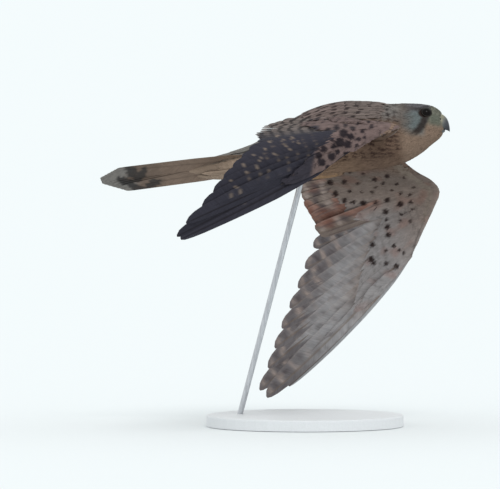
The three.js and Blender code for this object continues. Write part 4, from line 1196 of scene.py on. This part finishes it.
def build_flight(key):
    wing = WINGS[key]
    flight = []
    for f in wing["feathers"]:
        primary = f["kind"] == "primary"
        longer = through(f["n"], TRIM[key][f["kind"]]) + rng.uniform(-0.8, 0.8)
        inwards = wing["tip_in"] * (primary and f["n"] > LONGEST_PRIMARY)
        flight.append({
            **f, "root": f["root"] + f["up"] * 2 * math.tanh(f["height"] / 4),
            "tip": f["tip"] + f["back"] * longer - f["lead"] * inwards,
            "ahead": 6 if primary else 8, "behind": 13 if primary else 14, "thick": 0.32,
            "tilt": wing["primary_tilt"] if primary else wing["tilt"],
            "sweep": wing["sweep"] if primary else 0,
            "outline": "primary" if primary else "inner",
        })
    edge = flight[-1]
    edge["root"] = edge["root"] - edge["back"] * EDGE_ROOT_BACK
    edge["ahead"] = wing["edge"]
    edge["sweep"] += wing["edge_sweep"]
    for f in flight[-2:]:
        f["outline"] = f"edge_{key}"
    vanes = lay(flight, 56, 13, 0.12, 0.035)
    obj = vanes.build(f"flight_feathers_{key}", remex_tint(vanes, flight, key == "right"),
                      boxes_for(len(flight), 8), wing["side"])
    finish(obj, FIRM, f"wing_{key}", f"wing_{key}")


def build_coverts(key, face):
    """The tiers of larger coverts over one face of a wing."""
    wing = WINGS[key]
    coverts = []
    for tier_face, first, last, share, high, ahead, behind in TIERS:
        for i in range(first, last + 1) if tier_face == face else ():
            f = wing["feathers"][i]
            along = f["tip"] - f["root"]
            pile = min(wing["layer"] * PRIMARY_COUNT / 4, PILE) if f["kind"] == "primary" else 0
            height = high - through(i, SETTLING) if first == 0 else high
            coverts.append({
                "root": f["root"] + along * 0.06 + f["up"] * face * (2.0 + 0.25 * (height - 3)),
                "tip": (f["root"] + along * (share + rng.uniform(-0.012, 0.012))
                        + f["up"] * face * (height + pile - COVERT_SUNK[face])),
                "up": f["up"], "lead": f["lead"], "behind": behind, "thick": 0.2, "tilt": 3.5,
                "ahead": wing["edge"] if i == len(wing["feathers"]) - 1 else ahead,
                "sag": -0.8 * face, "outline": "covert",
            })
    vanes = lay(coverts, 26, 9, 0.03, 0.025 * face)
    tint = covert_tint(vanes, vanes.flat(wing["side"]), face)
    name = f"coverts_{'upper' if face > 0 else 'under'}_{key}"
    finish(vanes.build(name, tint, boxes_for(len(coverts), 10), wing["side"]), FIRM, f"wing_{key}")


for key_ in WINGS:
    build_flight(key_)
    for face_ in (1, -1):
        build_coverts(key_, face_)


# ---------------------------------------------------------------- small coverts on arm and hand
ARM_GAP, BARE_END = 1.9, 5
ARM_LIE = [-0.15, 0.25, 0]  # how the feathers lean from straight back
ARM_COLOURS = {("left", 1): upper_wing_colour, ("left", -1): under_wing_colour,
               ("right", 1): upper_wing_colour, ("right", -1): near_under_colour}
COVERING = {"gap": 1.75, "length": 8.0, "half": 0.95, "lift": 0.24, "sink": 0.08, "start": -6}
SHEET_PLACES, SHEET_HEIGHTS = (-8, 0, 8), (2.2, 3.0, 3.1, 2.9, 2.2, 0.6)
SHEET_RAISED = (0, 0.6, 1, 1, 1, 0.2)  # how much higher over the primaries


def wing_lattice(wing, face):
    """Roots of the lesser coverts over one face: place, way back, way out, place along chord and span."""
    centre, fore, up, thick = flesh_frame(wing, 10)
    reach = np.concatenate([[0], np.cumsum(np.linalg.norm(np.diff(centre, axis=0), axis=1))])
    turn = np.linspace(0, math.pi, 80)
    rows, s, line = [], 3.0, 0
    while s < reach[-1] - BARE_END:
        at, f, u = (np.array([np.interp(s, reach, v[:, k]) for k in range(3)]) for v in (centre, fore, up))
        high, half = np.interp(s, reach, thick) - COAT, np.linalg.norm(f) - COAT
        arc = np.hypot(np.diff(half * np.cos(turn)), np.diff(high * np.sin(turn)))
        arc = np.concatenate([[0], np.cumsum(arc)])
        count = max(int(arc[-1] / ARM_GAP), 3)
        steps = (np.arange(count) + 0.25 + 0.5 * (line % 2) + rng.uniform(-0.3, 0.3, count)) / count
        for step in steps[(steps > 0) & (steps < 0.93)]:
            a = np.interp(step * arc[-1], arc, turn)
            c, sine = math.cos(a), math.sin(a)
            place = at + unit(f) * half * c + u * face * high * sine
            out = unit(u * face * sine / high + unit(f) * c / half)
            rows.append([*place, *(-unit(f)), *out, (1 - c) / 2, s / reach[-1]])
        s += ARM_GAP * 0.85
        line += 1
    return np.array(rows)


def build_arm_coat():
    coat = Coat(skin_surface)
    for key, wing in WINGS.items():
        for face in (1, -1):
            rows = wing_lattice(wing, face)
            place, back, out, (chord, span) = rows[:, :3], rows[:, 3:6], rows[:, 6:9], rows[:, 9:].T
            n, flip = len(rows), sideways(wing["side"])
            lie = unit(back + ARM_LIE + rng.uniform(-0.18, 0.18, (n, 3)))
            length = ARM_GAP * (3.4 + 1.2 * chord) * rng.uniform(0.75, 1.25, n)
            corner = [0.5 if face < 0 else 0, 0.5 if key == "left" else 0]
            uv = 0.02 + 0.45 * np.stack([span, chord], -1) + corner
            coat.add(place * flip, out * flip, lie * flip, length, ARM_GAP * 0.72,
                     0.55 + 1.0 * smooth(chord, 0.05, 0.6), uv, ARM_COLOURS[key, face], chord)
    finish(coat.build("coat_arms"), SOFT, "torso")


def covert_sheet(wing, face, reach):
    """A smooth surface over the covert vanes of one face, from the flesh to past their tips."""
    flip, rows = sideways(wing["side"]), []
    for i, f in enumerate(wing["feathers"][2:], 2):
        long = np.linalg.norm(f["tip"] - f["root"]) * reach[i >= INNER_COUNT]
        back = np.array([*SHEET_PLACES, 0.5 * long, long, long + 10])
        high = np.array(SHEET_HEIGHTS) + np.array(SHEET_RAISED) * smooth(i, 8, 13)
        rows.append((f["root"] + f["back"] * back[:, None] + f["up"] * face * high[:, None]).ravel())
    grid = curve(rows, 4).reshape(-1, len(SHEET_HEIGHTS), 3) * flip
    n, m = grid.shape[:2]
    quads = [(k * m + j, k * m + j + 1, (k + 1) * m + j + 1, (k + 1) * m + j)
             for k in range(n - 1) for j in range(m - 1)]
    first = np.cross(grid[0, 1] - grid[0, 0], grid[1, 0] - grid[0, 0])
    if first @ (wing["feathers"][2]["up"] * face * flip) < 0:
        quads = [q[::-1] for q in quads]
    return world(grid.reshape(-1, 3)), quads


def covering_roots(wing, reach):
    """Roots between each two flight feathers: place, way up, way back, place along and across the wing."""
    gap, rows = COVERING["gap"], []
    for i in range(2, len(wing["feathers"]) - 1):
        f, g = wing["feathers"][i], wing["feathers"][i + 1]
        a, b = f["tip"] - f["root"], g["tip"] - g["root"]
        count = max(int(np.linalg.norm(g["root"] + 0.25 * b - f["root"] - 0.25 * a) / gap), 1)
        far = reach[i >= INNER_COUNT - 1] * np.linalg.norm(a)
        for k in range(count):
            steps = np.arange(COVERING["start"], far * rng.uniform(0.9, 1.08), gap)
            s = ((k + rng.uniform(0.2, 0.8, len(steps))) / count)[:, None]
            d = (steps + rng.uniform(-0.5, 0.5, len(steps)) * gap)[:, None]
            back, root, up = (f[key] * (1 - s) + g[key] * s for key in ("back", "root", "up"))
            span = np.full(len(steps), i / (len(wing["feathers"]) - 1))
            rows.append(np.column_stack([root + back * d, unit(up), unit(back), span, steps / 90]))
    return np.concatenate(rows)


def build_covering(key, face, reach, colour_of):
    """Soft small feathers over the covert vanes of one face, reach of the way down the feathers."""
    wing, flip = WINGS[key], sideways(WINGS[key]["side"])
    sheet, quads = covert_sheet(wing, face, reach)
    surface = BVHTree.FromPolygons([Vector(v) for v in np.concatenate([skin_points, sheet])],
                                   skin_faces + [tuple(len(skin_points) + v for v in q) for q in quads])
    rows = covering_roots(wing, reach)
    roots, downs, keep = world(rows[:, :3] * flip), (rows[:, 3:6] * flip * -face) @ TURN.T, []
    for k, down in enumerate(downs):  # onto the outermost surface
        hit, _, _, _ = surface.ray_cast(Vector(roots[k] - down * 0.012), Vector(down), 0.024)
        keep.append(hit is not None)
        if hit is not None:
            roots[k] = hit
    rows, roots = rows[keep], bird_points(roots[keep])
    n = len(rows)
    uv = np.stack([0.02 + 0.96 * rows[:, 9], 0.1 + 0.8 * rows[:, 10]], -1)
    lie = unit(rows[:, 6:9] * flip + rng.uniform(-0.16, 0.16, (n, 3)))
    coat = Coat(surface)
    coat.add(roots, rows[:, 3:6] * flip * face, lie, COVERING["length"] * rng.uniform(0.75, 1.25, n),
             COVERING["gap"] * COVERING["half"], COVERING["lift"], uv, colour_of)
    finish(coat.build(f"coat_coverts_{key}", COVERING["sink"]), SOFT, f"wing_{key}")


build_arm_coat()
build_covering("left", -1, (0.55, 0.36), under_wing_colour)
build_covering("right", 1, (0.4, 0.37), upper_wing_colour)

# ---------------------------------------------------------------- thighs, scapulars, tail coverts
THIGH_TUFTS, GOLDEN_ANGLE = 800, 2.39996
RUN_SHAPE = {0: 0.2, 0.25: 0.9, 0.65: 1, 0.88: 0.75, 0.96: 0.45, 1: 0.12}
RUN_SUNK = 2.3
# x and angles of the roots' row, of the tips' row, count, half width, rise
SCAPULARS = [
    ((24, 22, 76), (2, 20, 72), 11, 3.2, 1.1), ((14, 20, 76), (-10, 18, 70), 12, 3.4, 1.5),
    ((4, 20, 76), (-20, 18, 70), 12, 3.4, 1.8), ((-6, 20, 74), (-32, 18, 66), 11, 3.6, 1.9),
    ((-16, 22, 72), (-43, 20, 64), 10, 3.7, 1.8), ((-27, 24, 70), (-55, 22, 60), 9, 3.8, 1.5),
    ((-38, 26, 66), (-67, 28, 56), 8, 4.0, 1.2),
]
# x of the roots, of the tips, count, first and last angle
RUMP_ROWS = [
    (-62, -92, 16, 30, 150), (-72, -102, 15, 32, 148), (-82, -113, 14, 34, 146), (-92, -124, 13, 38, 142),
    (-102, -137, 11, 46, 134), (-112, -150, 9, 52, 128),
]
VENT_ROWS = [
    (-54, -84, 15, 212, 328), (-64, -94, 15, 213, 327), (-74, -105, 14, 215, 325),
    (-84, -116, 13, 217, 323), (-94, -127, 12, 220, 320), (-104, -140, 11, 226, 314),
    (-114, -153, 9, 230, 310),
]


def thigh_colour(p, chord):
    return mottle(C["thigh"], p, 0.1, 4.0, 2.0)


def build_thigh_coat():
    coat = Coat(skin_surface)
    a, b = np.array(THIGH["from"], float), np.array(THIGH["to"], float)
    t, turn = (np.arange(THIGH_TUFTS) + 0.5) / THIGH_TUFTS, np.arange(THIGH_TUFTS) * GOLDEN_ANGLE
    radius = (through(t, THIGH["radii"]) - COAT)[:, None]
    ring = np.stack([0 * t, np.cos(turn), np.sin(turn)], -1)
    for side in SIDES.values():
        flip = sideways(side)
        around = 0.02 + 0.46 * (turn / 2 / math.pi % 1) + (0.5 if side > 0 else 0)
        uv = np.stack([0.02 + 0.96 * t, around], -1)
        coat.add((a + (b - a) * t[:, None] + ring * radius) * flip, ring * flip,
                 np.tile([-1.0, 0, -0.1], (len(t), 1)), 8, 1.7, 1.5, uv, thigh_colour)
    finish(coat.build("coat_thighs"), SOFT, "torso")


def body_run(roots, tips, half, rise, rows, colour_of):
    """Points, tints and barb places of long feathers over the body, from (x, angle) roots and tips."""
    t = np.linspace(0, 1, rows)
    places = roots[:, None] + (tips - roots)[:, None] * t[None, :, None]
    lift = -RUN_SUNK + (rise[:, None] + RUN_SUNK) * smooth(t, 0, 0.5)[None]
    centres = body_at(places[..., 0], places[..., 1], lift)
    normals = unit(body_at(places[..., 0], places[..., 1], lift + 1) - centres)
    width = half[:, None] * through(t, RUN_SHAPE)
    vanes = Vanes(t, centres, normals, (width, width), np.full(width.shape, 0.35), 0.14, 7, 0.06)
    tint = colour_of(vanes.flat(), vanes.along, np.abs(vanes.across))
    tint = np.clip(tint * vanes.each(rng.uniform(0.9, 1.1, len(roots)))[:, None], 0, 1)
    return vanes.points, tint.reshape(vanes.points.shape), vanes.barb


def scapular_colour(p, t, off):
    behind = -p[:, 0]
    colour = paint(C["mantle"], "covert", 0.5 * smooth(behind, 0, 30))
    colour = mottle(colour * (1 + 0.26 * smooth(behind, 14, 44))[:, None], p, 0.12, 4.0, 3.0)
    colour = paint(colour, "mantle_dark", 0.5 * streaks(behind, p[:, 2] + p[:, 1], *SCAPULAR_LINES))
    colour = paint(colour, "mantle_dark", 0.8 * window(t, 0.68, 0.78, 0.9, 0.97) * fade(off, 0.3, 0.7))
    return paint(colour, "shaft_dark", 0.5 * fade(off, 0.03, 0.12))


def rump_colour(p, t, off):
    return paint(C["rump"], "mantle_dark", 0.35 * fade(off, 0.03, 0.2))


def vent_colour(p, t, off):
    return paint(C["vent"], "streak", 0.25 * fade(off, 0.03, 0.2))


def build_runs(name, runs, slot, columns):
    points, tint, barb = (np.concatenate([run[k] for run in runs]) for k in range(3))
    finish(vane_mesh(name, points, tint, barb, boxes_for(len(points), columns)), FIRM, slot)


def build_scapulars():
    runs = []
    for (x0, a0, a1), (x1, b0, b1), n, half, rise in SCAPULARS:
        share = np.linspace(0, 1, n)
        for other_side in (False, True):
            slide = rng.uniform(-4.5, 4.5, n)
            roots = np.stack([x0 + slide, a0 + (a1 - a0) * share + rng.uniform(-1.5, 1.5, n)], 1)
            tips = np.stack([x1 + slide + rng.uniform(-2, 2, n),
                             b0 + (b1 - b0) * share + rng.uniform(-2, 2, n)], 1)
            if other_side:
                roots[:, 1], tips[:, 1] = 180 - roots[:, 1], 180 - tips[:, 1]
            widths = half * rng.uniform(0.9, 1.1, n)
            rises = rise + rng.uniform(-0.25, 0.25, n)
            runs.append(body_run(roots, tips, widths, rises, 14, scapular_colour))
    build_runs("scapulars", runs, "torso", 13)


def build_tail_coverts():
    runs = []
    for rows, colour_of in ((RUMP_ROWS, rump_colour), (VENT_ROWS, vent_colour)):
        for x0, x1, n, low, high in rows:
            angles = np.linspace(low, high, n) + rng.uniform(-2, 2, n)
            slide = rng.uniform(-5, 5, n)
            roots = np.stack([x0 + slide, angles], 1)
            tips = np.stack([x1 + slide + rng.uniform(-3, 3, n), angles + rng.uniform(-2, 2, n)], 1)
            half = 3.0 * rng.uniform(0.8, 1.1, n)
            runs.append(body_run(roots, tips, half, rng.uniform(0.5, 1.0, n), 16, colour_of))
    build_runs("tail_coverts", runs, "tail", 10)


build_thigh_coat()
build_scapulars()
build_tail_coverts()


# ---------------------------------------------------------------- tail
def tail_tint(v):
    """Plain, with a black band before the pale tips: whole above, broken below as the photo shows it."""
    p = v.flat()
    above = smooth(v.face, 0.3, 0.7)
    from_tip = (1 - v.along) * TAIL["length"] + 2.2 * np.sin(p[:, 1] * 0.55) + 1.4 * speckle(p, 3.0, 1.0)
    whole = window(from_tip, 14, 18, 42, 46)
    band = np.where(above > 0.5, whole, np.maximum(0.25 * whole, near_marks(pixels(p), TAIL_BLOTCHES)))
    colour = mottle(paint(C["tail_under"], "tail_upper", above), p, 0.08, 9.0, 5.0)
    colour = colour * (1 - 0.14 * smooth(from_tip, 60, 100) * fade(np.abs(p[:, 1]), 1.5, 5))[:, None]
    colour = paint(colour, "tail_tip", fade(from_tip, 10, 20))
    colour = paint(colour, "tail_band", 0.9 * band)
    return blend(colour, colour * 0.75, fade(np.abs(v.across), 0.03, 0.1))


def build_tail():
    c, s = math.cos(math.radians(TAIL["twist"])), math.sin(math.radians(TAIL["twist"]))
    twist = np.array([[1, 0, 0], [0, c, -s], [0, s, c]])
    feathers = []
    for k in range(TAIL["pairs"]):
        for side in SIDES.values():
            out = side * (0.8 + TAIL["spread"] * (k + 0.5))
            drop = -TAIL["layer"] * (k + (0 if side > 0 else 0.5))
            feathers.append({
                "root": twist @ (np.array(TAIL["root"]) + [0, out * 0.35, drop]),
                "tip": twist @ np.array([TAIL["tip_x"] + TAIL["step"] * k, out, TAIL["tip_z"] + drop]),
                "up": twist @ np.array([0, 0, 1.0]), "lead": twist @ np.array([0, side * 1.0, 0]),
                "ahead": TAIL["half"], "behind": TAIL["half"], "thick": TAIL["thick"], "outline": "tail",
            })
    vanes = lay(feathers, 60, 13, 0.18)
    obj = vanes.build("tail_feathers", tail_tint(vanes), boxes_for(len(feathers), 6))
    finish(obj, FIRM, "tail", "tail")


build_tail()


# ---------------------------------------------------------------- bill, eyes, lids, feet
def bill(stations, sides=36):
    c, s = circle(sides)
    rings = [np.stack([np.full(sides, x), half * c, (top + bottom) / 2 + (top - bottom) / 2 * s], -1)
             for x, top, bottom, half in curve(stations, 8)]
    return loft(on_head(np.array(rings)))


def build_plain(name, pieces, material, slot, *nodes):
    points, tris = gathered(pieces)
    finish(mesh_object(name, world(points), [tris]), material, slot, *nodes)


def lid(side):
    facing = on_head(LID["facing"] * sideways(side)) - HEAD_AT
    centre = on_head(EYE["at"] * sideways(side)) + unit(facing) * LID["out"]
    return torus(centre, facing, LID["radius"], LID["thick"])


def build_foot(name, side):
    """A tarsus with three ridged toes laid back, one hind toe, and their claws."""
    a, b = (np.array(TARSUS[end], float) * sideways(side) for end in ("from", "to"))
    t = np.array([0, 0.2, 0.35, 0.55, 0.7, 0.85, 1])
    skin = [tube(a + (b - a) * t[:, None], TARSUS["radius"] * through(t, TARSUS["swell"]), 20),
            ball(b, TARSUS["heel"], 16)]
    claws = []
    u, v = np.linspace(0, 1, 14), np.linspace(0, 1, 9)
    for degrees, length, radius in TOES:
        w = math.radians(degrees)
        out = np.array([-math.cos(w), math.sin(w) * side, 0])
        rise = np.stack([0 * u, 0 * u, 1.6 * np.sin(u * math.pi) - 1.2 * u], -1)
        line = b + out * (length * u)[:, None] + rise
        skin.append(tube(line, radius * (1 - 0.28 * u) * (1 + 0.09 * np.cos(u * math.pi * 7)), 16))
        hook = line[-1] + out * (6.2 * v)[:, None] - np.stack([0 * v, 0 * v, 4.2 * v**1.7], -1)
        claws.append(tube(hook, radius * 0.62 * (1 - 0.93 * v), 12))
    hind = b + np.stack([9 * v, -side * 2 * v, -1 - 1.5 * np.sin(v * 2.2)], -1)
    skin.append(tube(hind, 1.5 * (1 - 0.25 * v), 14))
    hook = hind[-1] + np.stack([4.5 * v, 0 * v, -4.0 * v**1.6], -1)
    claws.append(tube(hook, 0.9 * (1 - 0.93 * v), 12))
    build_plain(f"foot_{name}", skin, SCUTES, "leg", f"leg_{name}")
    build_plain(f"claws_{name}", claws, CLAW_HORN, "leg")


build_plain("beak_upper", [bill(BILL_UPPER)], HORN_UPPER, "bill_upper", "bill_upper")
build_plain("beak_lower", [bill(BILL_LOWER)], HORN_LOWER, "bill_lower", "bill_lower")
build_plain("nostrils", [ball(on_head(NOSTRIL["at"] * sideways(side)), NOSTRIL["size"], 12)
                         for side in SIDES.values()], NOSTRIL_DARK, "bill_upper")
for name_, side_ in SIDES.items():
    eyeball = ball(on_head(EYE["at"] * sideways(side_)), EYE["radius"], 32)
    build_plain(f"eyeball_{name_}", [eyeball], EYE_GLOSS, "eye", f"eye_{name_}")
build_plain("eyelids", [lid(side) for side in SIDES.values()], LID_SKIN, "head")
for name_, side_ in SIDES.items():
    build_foot(name_, side_)


# ---------------------------------------------------------------- thumb feathers
def build_thumb(key):
    wing = WINGS[key]
    hand = wing["feathers"][INNER_COUNT + 1]
    fore, back, up = -unit(WRIST - np.array(wing["finger"], float)), hand["back"], hand["up"]
    feathers = []
    for k, long in enumerate(wing["thumb"]):
        start = WRIST + fore * (5 + 3 * k) + back * (2.5 + 1.5 * k)
        way = unit(fore * 0.75 + back * (0.45 + 0.12 * k))
        feathers.append({
            "root": start + up * (1.6 + 0.5 * k), "tip": start + way * long + up * (3.0 + 0.6 * k),
            "up": up, "lead": unit(np.cross(way, up)), "ahead": 2.4, "behind": 3.6, "thick": 0.3, "tilt": 3,
        })
    vanes = lay(feathers, 24, 9, 0.1)
    tint = upper_wing_colour(vanes.flat(wing["side"]))
    obj = vanes.build(f"thumb_{key}", tint, boxes_for(len(feathers), 3), wing["side"])
    finish(obj, FIRM, f"wing_{key}")


for key_ in WINGS:
    build_thumb(key_)
give(frame["nodes"]["stand_base"], PAINT)
give(frame["nodes"]["stand_rod"], STEEL)

# ---------------------------------------------------------------- room and camera
FLOOR_HALF, FLOOR_DROP = 600, 0.0005
FLOOR_COLOUR, SKY_COLOUR = (0.775, 0.803, 0.809, 1), (0.953, 0.988, 0.995, 1)
DISTANCE = 20000.0  # so far that the view has no perspective to speak of, as the photo's long lens
SENSOR = 36

floor_mesh = bpy.data.meshes.new("floor")
floor_corners = [(x * FLOOR_HALF, y * FLOOR_HALF, -FLOOR_DROP)
                 for x, y in ((-1, -1), (1, -1), (1, 1), (-1, 1))]
floor_mesh.from_pydata(floor_corners, [], [(0, 1, 2, 3)])
floor = linked("floor", floor_mesh)
floor_surface = Surface("pale_floor", 1.0, 0.0)
floor_surface.shader["Base Color"].default_value = FLOOR_COLOUR
give(floor, floor_surface.material)

room = bpy.data.worlds.new("room")
room.use_nodes = True
background = room.node_tree.nodes["Background"].inputs
background["Color"].default_value, background["Strength"].default_value = SKY_COLOUR, 1.0
bpy.context.scene.world = room

lamp = bpy.data.lights.new("studio", "SUN")
lamp.energy, lamp.angle = 0.9, math.radians(24)
linked("studio", lamp).rotation_euler = (math.radians(38), math.radians(12), 0)

camera = bpy.data.cameras.new("camera")
camera.sensor_fit, camera.sensor_width = "HORIZONTAL", SENSOR
camera.lens = SENSOR * DISTANCE / (FRAME_SIZE[0] / PIXELS_PER_MM)
camera.clip_start, camera.clip_end = 0.1, 2000
view_up = np.array([0, math.sin(VIEW_UP), math.cos(VIEW_UP)])
view_forward = np.array([0, math.cos(VIEW_UP), -math.sin(VIEW_UP)])
frame_centre = (BIRD_AT + np.array([1.0, 0, 0]) * (FRAME_SIZE[0] / 2 - SHOULDER_PIXEL[0]) / PIXELS_PER_MM
                + view_up * (SHOULDER_PIXEL[1] - FRAME_SIZE[1] / 2) / PIXELS_PER_MM)
camera_object = linked("camera", camera)
camera_object.location = (frame_centre - view_forward * DISTANCE) * MM
camera_object.rotation_euler = (math.pi / 2 - VIEW_UP, 0, 0)
bpy.context.scene.camera = camera_object
bpy.context.scene.view_settings.view_transform = "Standard"
